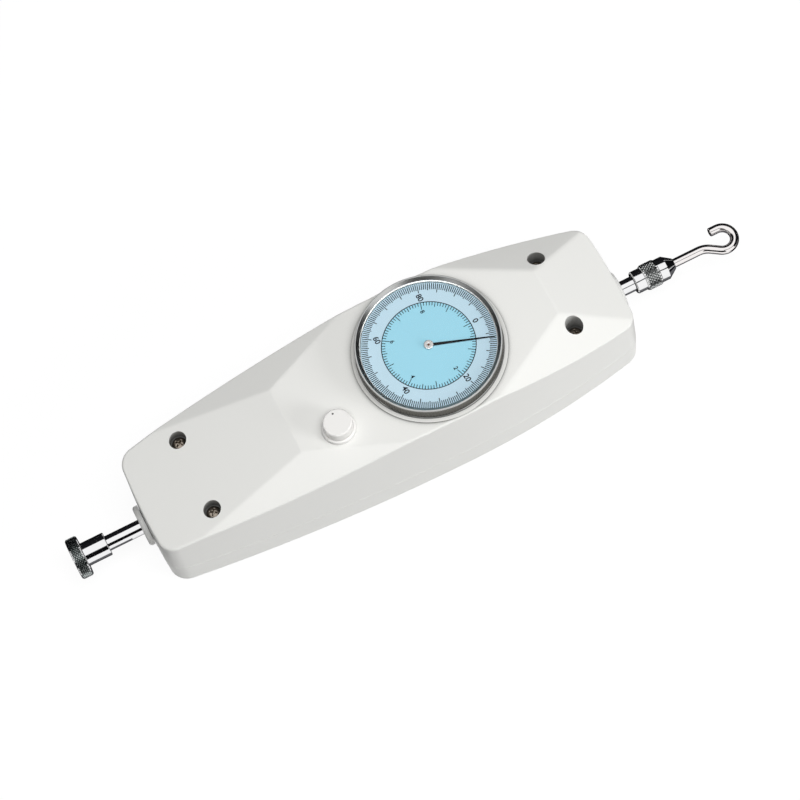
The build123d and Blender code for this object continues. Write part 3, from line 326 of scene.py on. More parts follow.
# the valley colours of both knurls are painted shade for the knurls' hollows
headKnurlLook = {"ridge": (0.95, 1.0, 0.99), "valleyShade": (0.02, 0.035, 0.035),
                 "edgeTint": (0.3, 0.3, 0.3), "roughness": 0.18}
ringKnurlLook = {"ridge": (1.0, 1.0, 1.0), "valleyShade": (0.12, 0.14, 0.135),
                 "edgeTint": (0.3, 0.3, 0.3), "roughness": 0.18}
bezelLook = {"colour": (0.60, 0.61, 0.60), "edgeTint": (0.5, 0.5, 0.5), "roughness": 0.29,
             "roughnessSpread": 0.08, "toneSpread": 0.06, "pitch": 0.00025, "depth": 0.0000012,
             "centre": dialCentre, "turn": aboutZ}
# painted shade: the ribbed wall is a darkened copy of the bezel metal, standing in for the shade
# on the bezel's wall
ribShadeLook = {**bezelLook, "colour": (0.21, 0.205, 0.19), "roughness": 0.26}
# painted shade: a brownish metal whose colour is darkened to stand in for the shade down in the
# deep counterbores
screwShadeLook = {"colour": (0.36, 0.31, 0.26), "edgeTint": (0.3, 0.28, 0.25), "roughness": 0.16,
             "roughnessSpread": 0.10, "toneSpread": 0.12, "pitch": 0.0008, "depth": 0.000002,
             "centre": dialCentre, "turn": aboutZ}
hubLook = {"colour": (0.86, 0.85, 0.84), "edgeTint": (0.3, 0.3, 0.3), "roughness": 0.12,
           "roughnessSpread": 0.05, "toneSpread": 0.04, "pitch": 0.0002, "depth": 0.0000006,
           "centre": dialCentre, "turn": aboutZ}
brassLook = {"colour": (0.72, 0.52, 0.22), "edgeTint": (0.7, 0.6, 0.4), "roughness": 0.22,
             "roughnessSpread": 0.10, "toneSpread": 0.10, "pitch": 0.0004, "depth": 0.000002,
             "centre": dialCentre, "turn": aboutZ}
plateLook = {"colour": (0.50, 0.51, 0.52), "edgeTint": (0.6, 0.6, 0.6), "roughness": 0.34,
             "roughnessSpread": 0.12, "toneSpread": 0.12, "pitch": 0.0010, "depth": 0.000003,
             "centre": dialCentre, "turn": aboutX}
aluminiumLook = {"colour": (0.68, 0.69, 0.70), "edgeTint": (0.7, 0.7, 0.7), "roughness": 0.30,
                 "roughnessSpread": 0.12, "toneSpread": 0.08, "pitch": 0.0005, "depth": 0.000002,
                 "centre": dialCentre, "turn": aboutZ}
springLook = {"colour": (0.34, 0.34, 0.36), "edgeTint": (0.5, 0.5, 0.5), "roughness": 0.28,
              "roughnessSpread": 0.10, "toneSpread": 0.10, "pitch": 0.0020, "depth": 0.000003,
              "centre": rodCentre, "turn": aboutX}

casingPlastic = plasticMaterial("casingPlastic", casingLook)
buttonPlastic = plasticMaterial("buttonPlastic", buttonLook)
bushPlastic = plasticMaterial("bushPlastic", bushLook)
chromePlate = turnedMaterial("chromePlate", chromeLook)
hookChrome = turnedMaterial("hookChrome", hookLook)
bezelPlate = turnedMaterial("bezelPlate", bezelLook)
ribPlate = turnedMaterial("ribPlate", ribShadeLook)
screwNickel = turnedMaterial("screwNickel", screwShadeLook)
hubSteel = turnedMaterial("hubSteel", hubLook)
gearBrass = turnedMaterial("gearBrass", brassLook)
plateSteel = turnedMaterial("plateSteel", plateLook)
frameAluminium = turnedMaterial("frameAluminium", aluminiumLook)
springSteel = turnedMaterial("springSteel", springLook)

inkLook = {"colour": (0.004, 0.006, 0.012), "roughness": 0.5, "sheen": 0.15, "grain": 0.0002,
           "depth": 0.000001, "toneSpread": 0.3}
lacquerLook = {"colour": (0.003, 0.003, 0.004), "roughness": 0.4, "sheen": 0.15, "grain": 0.0003,
               "depth": 0.000001, "toneSpread": 0.2}
bronzeLook = {"colour": (0.16, 0.06, 0.03), "roughness": 0.35, "sheen": 0.5, "grain": 0.0002,
              "depth": 0.000001, "toneSpread": 0.2}
dialInk = plasticMaterial("dialInk", inkLook)
pointerLacquer = plasticMaterial("pointerLacquer", lacquerLook)
pinBronze = plasticMaterial("pinBronze", bronzeLook)

dialLook = {"innerColour": (0.42, 0.83, 1.0), "outerColour": (0.64, 0.87, 1.0),
            "zoneRadius": 17.6 * mm, "ior": 1.45, "sheen": 0.35}
crystalLook = {"ior": 1.16, "hazeFrom": 0.62, "hazeGain": 0.2}


def dialMaterial(name, look):
    material, tree, shader = startMaterial(name, IOR=look["ior"], Specular_IOR_Level=look["sheen"])
    values = {"Inner Colour": look["innerColour"] + (1,),
              "Outer Colour": look["outerColour"] + (1,), "Zone Radius": look["zoneRadius"]}
    finishWith(tree, shader, dialZones, placedVector(tree), values)
    return material


def glassMaterial(name, look):
    # clear crystal with faint smears, which lets the lamps straight through to the dial
    material, tree, shader = startMaterial(name, IOR=look["ior"], Transmission_Weight=1.0)
    haze = noise(tree, placedVector(tree), unevenness["haze"], 3.0)
    smears = calc(tree, "MAXIMUM", calc(tree, "SUBTRACT", haze, look["hazeFrom"]), 0.0)
    film = calc(tree, "MULTIPLY", smears, look["hazeGain"])
    tree.links.new(film, shader.inputs["Roughness"])
    clear = addNode(tree, "ShaderNodeBsdfTransparent")
    path = addNode(tree, "ShaderNodeLightPath").outputs
    passing = calc(tree, "MAXIMUM", path["Is Shadow Ray"], path["Is Diffuse Ray"])
    mixedSurface(tree, passing, shader, clear)
    return material


dialFace = dialMaterial("dialFace", dialLook)
crystalGlass = glassMaterial("crystalGlass", crystalLook)
print("materials ready:", len(bpy.data.materials))


# mesh helpers

def shadeByAngle(bm, angle):
    bm.normal_update()
    for face in bm.faces:
        face.smooth = True
    for edge in bm.edges:
        flat = len(edge.link_faces) == 2 and edge.calc_face_angle(math.pi) < math.radians(angle)
        edge.smooth = flat


def makeObject(name, bm, material, angle=32.0):
    shadeByAngle(bm, angle)
    mesh = bpy.data.meshes.new(name)
    bm.to_mesh(mesh)
    bm.free()
    mesh.materials.append(material)
    obj = bpy.data.objects.new(name, mesh)
    scene.collection.objects.link(obj)
    return obj


def plainCopy(obj, name):
    # the evaluated shape as a plain mesh on a new object, with the old one gone
    graph = bpy.context.evaluated_depsgraph_get()
    mesh = bpy.data.meshes.new_from_object(obj.evaluated_get(graph), preserve_all_data_layers=True,
                                           depsgraph=graph)
    bpy.data.objects.remove(obj)
    mesh.name = name
    result = bpy.data.objects.new(name, mesh)
    scene.collection.objects.link(result)
    return result


def evenNormals(obj):
    # big flat faces keep their own direction beside small rounded ones
    weighted = obj.modifiers.new("weighted", "WEIGHTED_NORMAL")
    weighted.keep_sharp = True
    return plainCopy(obj, obj.name)


def settle(obj, body, slotName, *replaced):
    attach(obj, body)
    if replaced:
        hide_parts(*replaced)
    return obj


def dress(node, name, material, slotName, angle=32.0):
    # a merged, smoothly shaded copy of a solid stands in for it
    weldDistance = 2e-6
    bm = bmesh.new()
    bm.from_mesh(nodes[node].data)
    bmesh.ops.remove_doubles(bm, verts=bm.verts, dist=weldDistance)
    obj = evenNormals(makeObject(name, bm, material, angle))
    return settle(obj, bodyOf[node], slotName, node)


def softened(corners, radius, steps=4):
    # profile corners eased by a short curve; corners are (along, radius) and the ends stay
    result = [corners[0]]
    for before, corner, after in zip(corners, corners[1:], corners[2:]):
        middle, start, end = Vector(corner), Vector(before), Vector(after)
        reach = min(radius, (start - middle).length / 2.2, (end - middle).length / 2.2)
        first = middle + (start - middle).normalized() * reach
        last = middle + (end - middle).normalized() * reach
        for step in range(steps + 1):
            t = step / steps
            point = first * (1 - t) ** 2 + middle * 2 * t * (1 - t) + last * t ** 2
            result.append((point.x, point.y))
    result.append(corners[-1])
    return result


def turned(profile, steps, axis, centre=(0, 0, 0), closed=False):
    # revolves (along, radius) points about a line through centre along X or Z
    bm = bmesh.new()
    rings = []
    for along, radius in profile:
        count = steps if radius > 1e-9 else 1
        ring = []
        for index in range(count):
            angle = 2 * math.pi * index / steps
            side, other = radius * math.cos(angle), radius * math.sin(angle)
            offset = Vector((along, side, other)) if axis == "X" else Vector((side, other, along))
            ring.append(bm.verts.new(Vector(centre) + offset))
        rings.append(ring)
    pairs = list(zip(rings, rings[1:]))
    if closed:
        pairs.append((rings[-1], rings[0]))
    for first, second in pairs:
        for index in range(steps):
            ahead = (index + 1) % steps
            if len(first) == 1 and len(second) == 1:
                continue
            if len(first) == 1:
                bm.faces.new((first[0], second[index], second[ahead]))
            elif len(second) == 1:
                bm.faces.new((first[index], second[0], first[ahead]))
            else:
                bm.faces.new((first[index], second[index], second[ahead], first[ahead]))
    bmesh.ops.recalc_face_normals(bm, faces=bm.faces)
    return bm


def merge(name, objects, material, angle=32.0):
    bm = bmesh.new()
    for obj in objects:
        bm.from_mesh(obj.data)
        bpy.data.objects.remove(obj)
    return makeObject(name, bm, material, angle)


# Geometry Nodes trees

def geometryGroup(name, inputs):
    # tree, inputs and outputs, with the geometry passing through
    return newGroup(name, "GeometryNodeTree",
                    {"Geometry": ("NodeSocketGeometry", None), **inputs},
                    {"Geometry": "NodeSocketGeometry"})


def closeGeometry(tree, geometry, material, result):
    real = addNode(tree, "GeometryNodeRealizeInstances", {"Geometry": geometry}).outputs[0]
    painted = addNode(tree, "GeometryNodeSetMaterial", {"Geometry": real, "Material": material})
    tree.links.new(painted.outputs[0], result["Geometry"])


def grown(name, tree, values, seedMesh=None):
    # runs a tree with its named inputs and returns the plain mesh object
    mesh = seedMesh or bpy.data.meshes.new(name)
    obj = bpy.data.objects.new(name, mesh)
    scene.collection.objects.link(obj)
    modifier = obj.modifiers.new(name, "NODES")
    modifier.node_group = tree
    for item in tree.interface.items_tree:
        if item.in_out == "INPUT" and item.name in values:
            modifier[item.identifier] = values[item.name]
    return plainCopy(obj, name)


intSocket = "NodeSocketInt"
materialSocket = "NodeSocketMaterial"


def buildKnurlTree():
    # a sleeve about X whose vertices stand high and low in turn
    # Slant 1 gives diamonds and 0 gives ribs
    tree, given, result = geometryGroup("knurledSleeve", {
        "Radius": (floatSocket, 0.005), "Length": (floatSocket, 0.006),
        "Start": (floatSocket, 0.0), "Around": (intSocket, 30), "Rows": (intSocket, 6),
        "Depth": (floatSocket, 0.0003),
        "Slant": (floatSocket, 1.0), "Material": (materialSocket, None)})
    across = calc(tree, "MULTIPLY", given["Rows"], 2.0)
    around = calc(tree, "MULTIPLY", given["Around"], 2.0)
    grid = addNode(tree, "GeometryNodeMeshGrid", {
        "Size X": 1.0, "Size Y": 1.0, "Vertices X": calc(tree, "ADD", across, 1.0),
        "Vertices Y": calc(tree, "ADD", around, 1.0)})
    place = addNode(tree, "ShaderNodeSeparateXYZ",
                    {"Vector": addNode(tree, "GeometryNodeInputPosition").outputs[0]})
    alongShare = calc(tree, "ADD", place.outputs["X"], 0.5)
    roundShare = calc(tree, "ADD", place.outputs["Y"], 0.5)
    row = calc(tree, "ROUND", calc(tree, "MULTIPLY", alongShare, across))
    column = calc(tree, "ROUND", calc(tree, "MULTIPLY", roundShare, around))
    turn = calc(tree, "MULTIPLY_ADD", row, given["Slant"], column)
    low = calc(tree, "ROUND", calc(tree, "FLOORED_MODULO", turn, 2.0))
    atStart = calc(tree, "LESS_THAN", row, 0.5)
    atEnd = calc(tree, "GREATER_THAN", row, calc(tree, "SUBTRACT", across, 0.5))
    sunk = calc(tree, "MAXIMUM", low, calc(tree, "MAXIMUM", atStart, atEnd))
    radius = calc(tree, "SUBTRACT", given["Radius"], calc(tree, "MULTIPLY", sunk, given["Depth"]))
    angle = calc(tree, "MULTIPLY", roundShare, 2 * math.pi)
    along = calc(tree, "MULTIPLY_ADD", alongShare, given["Length"], given["Start"])
    target = addNode(tree, "ShaderNodeCombineXYZ", {
        "X": along, "Y": calc(tree, "MULTIPLY", radius, calc(tree, "COSINE", angle)),
        "Z": calc(tree, "MULTIPLY", radius, calc(tree, "SINE", angle))})
    wrapped = addNode(tree, "GeometryNodeSetPosition",
                      {"Geometry": grid.outputs[0], "Position": target.outputs[0]})
    sealed = addNode(tree, "GeometryNodeMergeByDistance",
                     {"Geometry": wrapped.outputs[0], "Distance": 1e-6})
    cut = addNode(tree, "GeometryNodeTriangulate", {"Mesh": sealed.outputs[0]},
                  quad_method="SHORTEST_DIAGONAL")
    closeGeometry(tree, cut.outputs[0], given["Material"], result)
    return tree


def buildTickTree():
    # bars round the Z axis, every so many of them longer
    tree, given, result = geometryGroup("tickRing", {
        "Radius": (floatSocket, 0.02), "Base": (floatSocket, 0.0), "Count": (intSocket, 100),
        "Start Angle": (floatSocket, 0.0), "Width": (floatSocket, 0.0002),
        "Thickness": (floatSocket, 0.00003), "Short": (floatSocket, 0.001),
        "Medium": (floatSocket, 0.0015), "Long": (floatSocket, 0.002),
        "Medium Every": (intSocket, 5), "Long Every": (intSocket, 10),
        "Material": (materialSocket, None)})
    points = addNode(tree, "GeometryNodePoints", {"Count": given["Count"]})
    index = addNode(tree, "GeometryNodeInputIndex").outputs[0]
    share = calc(tree, "DIVIDE", index, given["Count"])
    angle = calc(tree, "MULTIPLY_ADD", share, -2 * math.pi, given["Start Angle"])
    mediumTurn = calc(tree, "FLOORED_MODULO", index, given["Medium Every"])
    longTurn = calc(tree, "FLOORED_MODULO", index, given["Long Every"])
    isMedium = calc(tree, "LESS_THAN", mediumTurn, 0.5)
    isLong = calc(tree, "LESS_THAN", longTurn, 0.5)
    mediumStep = calc(tree, "SUBTRACT", given["Medium"], given["Short"])
    longStep = calc(tree, "SUBTRACT", given["Long"], given["Medium"])
    length = calc(tree, "MULTIPLY_ADD", isMedium, mediumStep, given["Short"])
    length = calc(tree, "MULTIPLY_ADD", isLong, longStep, length)
    middle = calc(tree, "SUBTRACT", given["Radius"], calc(tree, "MULTIPLY", length, 0.5))
    place = addNode(tree, "ShaderNodeCombineXYZ", {
        "X": calc(tree, "MULTIPLY", middle, calc(tree, "COSINE", angle)),
        "Y": calc(tree, "MULTIPLY", middle, calc(tree, "SINE", angle)),
        "Z": calc(tree, "MULTIPLY_ADD", given["Thickness"], 0.5, given["Base"])})
    spread = addNode(tree, "GeometryNodeSetPosition",
                     {"Geometry": points.outputs[0], "Position": place.outputs[0]})
    bar = addNode(tree, "GeometryNodeMeshCube", {"Size": (1, 1, 1)})
    size = addNode(tree, "ShaderNodeCombineXYZ",
                   {"X": length, "Y": given["Width"], "Z": given["Thickness"]})
    heading = addNode(tree, "ShaderNodeCombineXYZ", {"Z": angle})
    bars = addNode(tree, "GeometryNodeInstanceOnPoints", {
        "Points": spread.outputs[0], "Instance": bar.outputs[0], "Rotation": heading.outputs[0],
        "Scale": size.outputs[0]})
    closeGeometry(tree, bars.outputs[0], given["Material"], result)
    return tree


def buildScrewTree():
    # one screw on each point, each driven home at its own angle
    tree, given, result = geometryGroup("screwSet", {
        "Screw": ("NodeSocketObject", None), "Seed": (intSocket, 3),
        "Material": (materialSocket, None)})
    screw = addNode(tree, "GeometryNodeObjectInfo", {"Object": given["Screw"]}).outputs["Geometry"]
    angle = addNode(tree, "FunctionNodeRandomValue", {"Seed": given["Seed"]}, data_type="FLOAT")
    angle.inputs[2].default_value = 0.0
    angle.inputs[3].default_value = math.pi / 2
    heading = addNode(tree, "ShaderNodeCombineXYZ", {"Z": angle.outputs[1]})
    placed = addNode(tree, "GeometryNodeInstanceOnPoints", {
        "Points": given["Geometry"], "Instance": screw, "Rotation": heading.outputs[0]})
    closeGeometry(tree, placed.outputs[0], given["Material"], result)
    return tree


knurlTree = buildKnurlTree()
tickTree = buildTickTree()
screwTree = buildScrewTree()
print("geometry trees ready")


# casing

dress("front_cover", "frontCover", casingPlastic, "casing_plastic", 24.0)
dress("rear_cover", "rearCover", casingPlastic, "casing_plastic", 24.0)
dress("end_bush_left", "endBushLeft", bushPlastic, "casing_plastic")
dress("end_bush_right", "endBushRight", bushPlastic, "casing_plastic")
dress("mount_inserts", "mountInserts", gearBrass, "insert_brass")
print("casing dressed")


# cover screws: domed heads with a cross recess, down in their counterbores

coverScrew = {"headRadius": 2.8 * mm, "headHeight": 1.9 * mm, "edgeHeight": 0.7 * mm,
              "shankRadius": 1.45 * mm, "recessWidth": 0.75 * mm, "recessLength": 3.3 * mm,
              "recessDepth": 1.2 * mm, "recessTaper": (0.72, 1.15), "domeStep": 10,
              "domeEnd": 80, "seed": 11, "steps": 48}


def buildScrew(screw, length):
    head, height = screw["headRadius"], screw["headHeight"]
    dome = [(height * math.cos(math.radians(a)), head * math.sin(math.radians(a)))
            for a in range(0, screw["domeEnd"], screw["domeStep"])]
    edge = screw["edgeHeight"]
    dome = [(edge + along * (height - edge) / height, radius) for along, radius in dome]
    profile = dome + [(edge, head), (0.0, head), (0.0, screw["shankRadius"]),
                      (-length, screw["shankRadius"]), (-length, 0.0)]
    body = makeObject("screwBody", turned(profile, screw["steps"], "Z"), screwNickel, 40.0)
    cutters = []
    for turn in (0.0, 90.0):
        bm = bmesh.new()
        bmesh.ops.create_cube(bm, size=1.0)
        for vert in bm.verts:
            taper = screw["recessTaper"][0 if vert.co.z < 0 else 1]
            vert.co.x *= screw["recessLength"] * taper
            vert.co.y *= screw["recessWidth"] * taper
            vert.co.z *= 2 * screw["recessDepth"]
            vert.co.z += height
        bm.transform(Matrix.Rotation(math.radians(turn), 4, "Z"))
        cutters.append(makeObject("recess", bm, screwNickel))
    for cutter in cutters:
        cut = body.modifiers.new("recess", "BOOLEAN")
        cut.operation = "DIFFERENCE"
        cut.solver = "EXACT"
        cut.object = cutter
    result = plainCopy(body, "screwPattern")
    for cutter in cutters:
        bpy.data.objects.remove(cutter)
    return result


def placeCoverScrews(screw):
    corners = []
    low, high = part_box("cover_screws")
    seat = high.z - screw["headHeight"]
    for x in (low.x + screw["headRadius"], high.x - screw["headRadius"]):
        for y in (low.y + screw["headRadius"], high.y - screw["headRadius"]):
            corners.append((x, y, seat))
    pattern = buildScrew(screw, seat - low.z)
    seedMesh = bpy.data.meshes.new("coverScrews")
    seedMesh.from_pydata(corners, [], [])
    obj = grown("coverScrews", screwTree, {"Screw": pattern, "Seed": screw["seed"],
                                           "Material": screwNickel}, seedMesh)
    bpy.data.objects.remove(pattern)
    return settle(obj, "case", "screw_steel", "cover_screws")


placeCoverScrews(coverScrew)
print("cover screws placed")


# push head: sleeve and diamond-knurled disc

pushHead = {"discThickness": 4.6 * mm, "sleeveRadius": 4.65 * mm, "boreRadius": 2.55 * mm,
            "boreDepth": 8.0 * mm, "chamfer": 0.25 * mm, "knurlDepth": 0.38 * mm, "around": 38,
            "rows": 4, "soft": 0.1 * mm, "steps": 96}


def knurledBand(name, start, end, radius, piece, look):
    # diamonds from start to end about the rod's axis, their peaks at radius
    depth = piece["knurlDepth"]
    band = grown(name, knurlTree, {
        "Radius": radius, "Length": end - start, "Start": start, "Around": piece["around"],
        "Rows": piece["rows"], "Depth": depth, "Slant": 1.0,
        "Material": knurlMaterial(name, look, radius - depth, depth)})
    band.data.transform(Matrix.Translation(rodCentre))
    return settle(band, "rod", "knurled_steel")


def buildPushHead(head):
    low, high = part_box("push_head")
    front, back, radius = low.x, high.x, high.y
    chamfer, sleeve, bore = head["chamfer"], head["sleeveRadius"], head["boreRadius"]
    root = radius - head["knurlDepth"]
    rimStart = front + chamfer
    rimEnd = front + head["discThickness"] - chamfer
    boreEnd = back - head["boreDepth"]
    outline = softened([(front, 0.0), (front, root - chamfer), (rimStart, root)], head["soft"])
    inner = softened([
        (rimEnd, root), (rimEnd + chamfer, root - chamfer), (rimEnd + chamfer, sleeve),
        (back - chamfer, sleeve), (back, sleeve - chamfer), (back, bore), (boreEnd, bore),
        (boreEnd, 0.0)], head["soft"])
    bm = turned(outline + inner, head["steps"], "X", rodCentre)
    settle(makeObject("pushHead", bm, chromePlate), "rod", "chrome_steel", "push_head")
    return knurledBand("headKnurl", rimStart, rimEnd, radius, head, headKnurlLook)


buildPushHead(pushHead)


# coupling: turned collars either side of a diamond-knurled ring

couplingRing = {"chamfer": 0.25 * mm, "knurlDepth": 0.36 * mm, "boreRadius": 3.62 * mm,
                "around": 25, "rows": 4, "soft": 0.08 * mm, "steps": 96}


def buildCouplingRing(ring):
    low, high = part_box("knurled_ring")
    radius, bore, chamfer = high.y, ring["boreRadius"], ring["chamfer"]
    root = radius - ring["knurlDepth"]
    start, end = low.x + chamfer, high.x - chamfer
    first = softened([(low.x, bore), (low.x, root - chamfer), (start, root)], ring["soft"])
    last = softened([(end, root), (high.x, root - chamfer), (high.x, bore)], ring["soft"])
    bm = turned(first + last, ring["steps"], "X", rodCentre, closed=True)
    settle(makeObject("knurledRing", bm, chromePlate), "rod", "knurled_steel", "knurled_ring")
    return knurledBand("ringKnurl", start, end, radius, ring, ringKnurlLook)


buildCouplingRing(couplingRing)
dress("coupling_body", "couplingBody", chromePlate, "chrome_steel")
dress("coupling_nose", "couplingNose", chromePlate, "chrome_steel")
dress("push_rod", "pushRod", chromePlate, "chrome_steel")
dress("pull_rod", "pullRod", chromePlate, "chrome_steel")
dress("pull_hook", "pullHook", hookChrome, "chrome_steel", 40.0)
print("rod, coupling and hook dressed")


# bezel: fine-ribbed wall, bright lip and a brushed cone down to the crystal

bezel = {"ribDepth": 0.22 * mm, "ribs": 150, "ribRows": 5, "foot": 0.7 * mm, "brow": 0.6 * mm,
         "footStep": 0.2 * mm, "footRound": 0.15 * mm, "lipWidth": 0.65 * mm,
         "lipEdge": 0.1 * mm, "lipDrop": 0.12 * mm, "lipWall": 0.25 * mm, "lipRound": 0.3 * mm,
         "crystalEdge": 25.75 * mm, "crystalTop": 0.98 * mm, "crystalSeat": 1.72 * mm,
         "boreRadius": 25.46 * mm, "steps": 180}


def buildBezel(ring):
    low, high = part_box("bezel_ring")
    radius, bottom, top = high.x, low.z, high.z
    bore, crystalEdge, edge = ring["boreRadius"], ring["crystalEdge"], ring["lipEdge"]
    root = radius - ring["ribDepth"]
    wallStart, wallEnd = bottom + ring["foot"], top - ring["brow"]
    seat, crystalTop = top - ring["crystalSeat"], top - ring["crystalTop"]
    lipInner = radius - ring["lipWidth"]
    foot = softened([(wallStart, root), (wallStart - ring["footStep"], radius), (bottom, radius),
                     (bottom, bore)], ring["footRound"])
    cone = softened([(crystalTop, crystalEdge), (top - ring["lipDrop"], lipInner - edge),
                     (top, lipInner), (top, radius - edge), (wallEnd + ring["lipWall"], radius),
                     (wallEnd, root)], ring["lipRound"], 6)
    profile = foot + [(seat, bore), (seat, crystalEdge)] + cone
    bm = turned(profile, ring["steps"], "Z", closed=True)
    core = makeObject("bezelRing", bm, bezelPlate, 30.0)
    settle(core, "bezel", "bezel_metal", "bezel_ring")
    ribs = grown("bezelRibs", knurlTree, {
        "Radius": radius, "Length": wallEnd - wallStart, "Start": wallStart,
        "Around": ring["ribs"], "Rows": ring["ribRows"], "Depth": ring["ribDepth"],
        "Slant": 0.0, "Material": ribPlate})
    ribs.data.transform(Matrix.Rotation(math.radians(-90), 4, "Y"))
    return settle(ribs, "bezel", "bezel_metal")


buildBezel(bezel)
dress("crystal", "crystal", crystalGlass, "crystal_glass")
print("bezel built")


# dial: two rings of graduations, a dividing circle and the numbers

dial = {"zeroAngle": 1.8, "lift": 0.01 * mm, "thickness": 0.03 * mm, "boldness": 0.03,
        "outer": {"Radius": 25.2 * mm, "Count": 200, "Width": 0.32 * mm, "Short": 2.5 * mm,
                  "Medium": 2.9 * mm, "Long": 3.7 * mm, "Medium Every": 5, "Long Every": 10},
        "inner": {"Radius": 17.6 * mm, "Count": 100, "Width": 0.27 * mm, "Short": 1.45 * mm,
                  "Medium": 2.0 * mm, "Long": 2.9 * mm, "Medium Every": 5, "Long Every": 10},
        "circleRadius": 17.6 * mm, "circleWidth": 0.32 * mm, "circleSteps": 180,
        "labels": (
            {"radius": 19.6 * mm, "height": 2.1 * mm, "values": ("0", "20", "40", "60", "80")},
            {"radius": 13.8 * mm, "height": 1.6 * mm, "values": ("", "2", "4", "6", "8")})}


def dialLabel(text, height, face):
    curve = bpy.data.curves.new("label", "FONT")
    curve.body = text
    curve.size = height / 0.7  # a figure stands about 0.7 of the font's size
    curve.align_x = "CENTER"
    curve.align_y = "CENTER"
    curve.extrude = face["thickness"] / 2
    curve.offset = height * face["boldness"]
    obj = bpy.data.objects.new("label", curve)
    scene.collection.objects.link(obj)
    return plainCopy(obj, "label")


def buildDialPrint(face):
    low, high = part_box("dial_plate")
    base = high.z + face["lift"]
    zero = math.radians(face["zeroAngle"])
    rings = []
    for name in ("outer", "inner"):
        rings.append(grown("ticks", tickTree, {
            **face[name], "Base": base, "Thickness": face["thickness"], "Start Angle": zero,
            "Material": dialInk}))
    near = face["circleRadius"] - face["circleWidth"] / 2
    far = face["circleRadius"] + face["circleWidth"] / 2
    bandTop = base + face["thickness"] * 1.2  # just proud of the ticks
    band = [(base, near), (base, far), (bandTop, far), (bandTop, near)]
    bm = turned(band, face["circleSteps"], "Z", closed=True)
    rings.append(makeObject("circle", bm, dialInk))
    settle(merge("dialGraduations", rings, dialInk), "bezel", "pointer_black")
    labels = []
    upright = Matrix.Rotation(zero - math.pi / 2, 4, "Z")
    for group in face["labels"]:
        for index, text in enumerate(group["values"]):
            if not text:
                continue
            angle = zero - 2 * math.pi * index / len(group["values"])
            label = dialLabel(text, group["height"], face)
            place = Vector((math.cos(angle), math.sin(angle), 0)) * group["radius"]
            place.z = base + face["thickness"] / 2
            label.data.transform(Matrix.Translation(place) @ upright)
            labels.append(label)
    return settle(merge("dialNumbers", labels, dialInk), "bezel", "pointer_black")


buildDialPrint(dial)
dress("dial_plate", "dialPlate", dialFace, "dial_face")
dress("dial_retainer", "dialRetainer", plateSteel, "frame_steel")
print("dial printed")


# pointer: slim black needle, bright hub and a bronze pin end

pointerHub = {"pinRadius": 0.42 * mm, "pinGap": 0.12 * mm, "pinRise": 0.12 * mm,
              "pinDome": 0.04 * mm, "recess": 0.18 * mm, "overlap": 0.01 * mm,
              "topRound": 0.28 * mm, "steps": 64, "pinSteps": 24}


def buildPointerHub(hub):
    low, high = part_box("pointer_hub")
    radius, pinRadius = high.x, hub["pinRadius"]
    recess, floor = pinRadius + hub["pinGap"], high.z - hub["recess"]
    rim = softened([(low.z, radius), (high.z, radius), (high.z, recess), (floor, recess)],
                   hub["topRound"])
    profile = [(low.z, 0.0), (low.z, radius)] + rim[1:] + [(floor, 0.0)]
    settle(makeObject("pointerHub", turned(profile, hub["steps"], "Z"), hubSteel),
           "indicator", "chrome_steel", "pointer_hub")
    base = floor + hub["overlap"]
    crown = softened([(base, pinRadius), (high.z - hub["pinDome"], pinRadius), (high.z, 0.0)],
                     hub["pinRise"])
    pin = [(base, 0.0), (base, pinRadius)] + crown[1:]
    settle(makeObject("pointerPin", turned(pin, hub["pinSteps"], "Z"), pinBronze),
           "indicator", "gear_brass")


buildPointerHub(pointerHub)
dress("pointer", "pointerNeedle", pointerLacquer, "pointer_black")
dress("button_cap", "buttonCap", buttonPlastic, "button_plastic")
dress("button_guide", "buttonGuide", buttonPlastic, "button_plastic")
print("pointer and button dressed")


# the movement inside keeps its solids and gets its own metals

insideMetals = {
    "base_frame": plateSteel, "frame_screws": screwNickel, "frame_pillars": frameAluminium,
    "top_plate": plateSteel, "plate_screws": screwNickel, "pivot_bridge": frameAluminium,
    "stop_tube": frameAluminium, "main_spring": springSteel, "button_spring": springSteel,
    "pawl_bracket": plateSteel, "pawl_pin": hubSteel, "pointer_arbor": hubSteel,
    "pointer_pinion": gearBrass, "gear_arbor": hubSteel, "rack_pinion": gearBrass,
    "drive_gear": gearBrass, "rack_bar": plateSteel, "spring_collar": plateSteel,
    "button_stem": hubSteel, "peak_pawl": plateSteel}
for nodeName, metal in insideMetals.items():
    slots = nodes[nodeName].data.materials
    slots.clear()
    slots.append(metal)
print("movement painted")


# floor, cards, lamps and world

backdrop = {"colour": (0.60, 0.60, 0.60), "size": (6.0, 6.0), "shadowShare": 0.16, "white": 1.10}
surround = {"ambient": 0.04, "white": 1.04}
pureWhite = (1, 1, 1, 1)


def seenDirectly(tree):
    # 1 for what the eye, metal and glass see, and 0 for what lights the object
    path = addNode(tree, "ShaderNodeLightPath").outputs
    bounced = calc(tree, "MAXIMUM", path["Is Glossy Ray"], path["Is Transmission Ray"])
    return calc(tree, "MAXIMUM", path["Is Camera Ray"], bounced)


def backdropMaterial(look):
    # reads as white paper to the eye and to metal, and keeps the contact shadow
    material, tree = bareMaterial("floorPaper")
    paper = addNode(tree, "ShaderNodeBsdfDiffuse", {"Color": look["colour"] + (1,)})
    white = addNode(tree, "ShaderNodeEmission", {"Color": pureWhite, "Strength": look["white"]})
    share = calc(tree, "MULTIPLY", seenDirectly(tree), 1.0 - look["shadowShare"])
    mixedSurface(tree, share, paper, white)
    return material


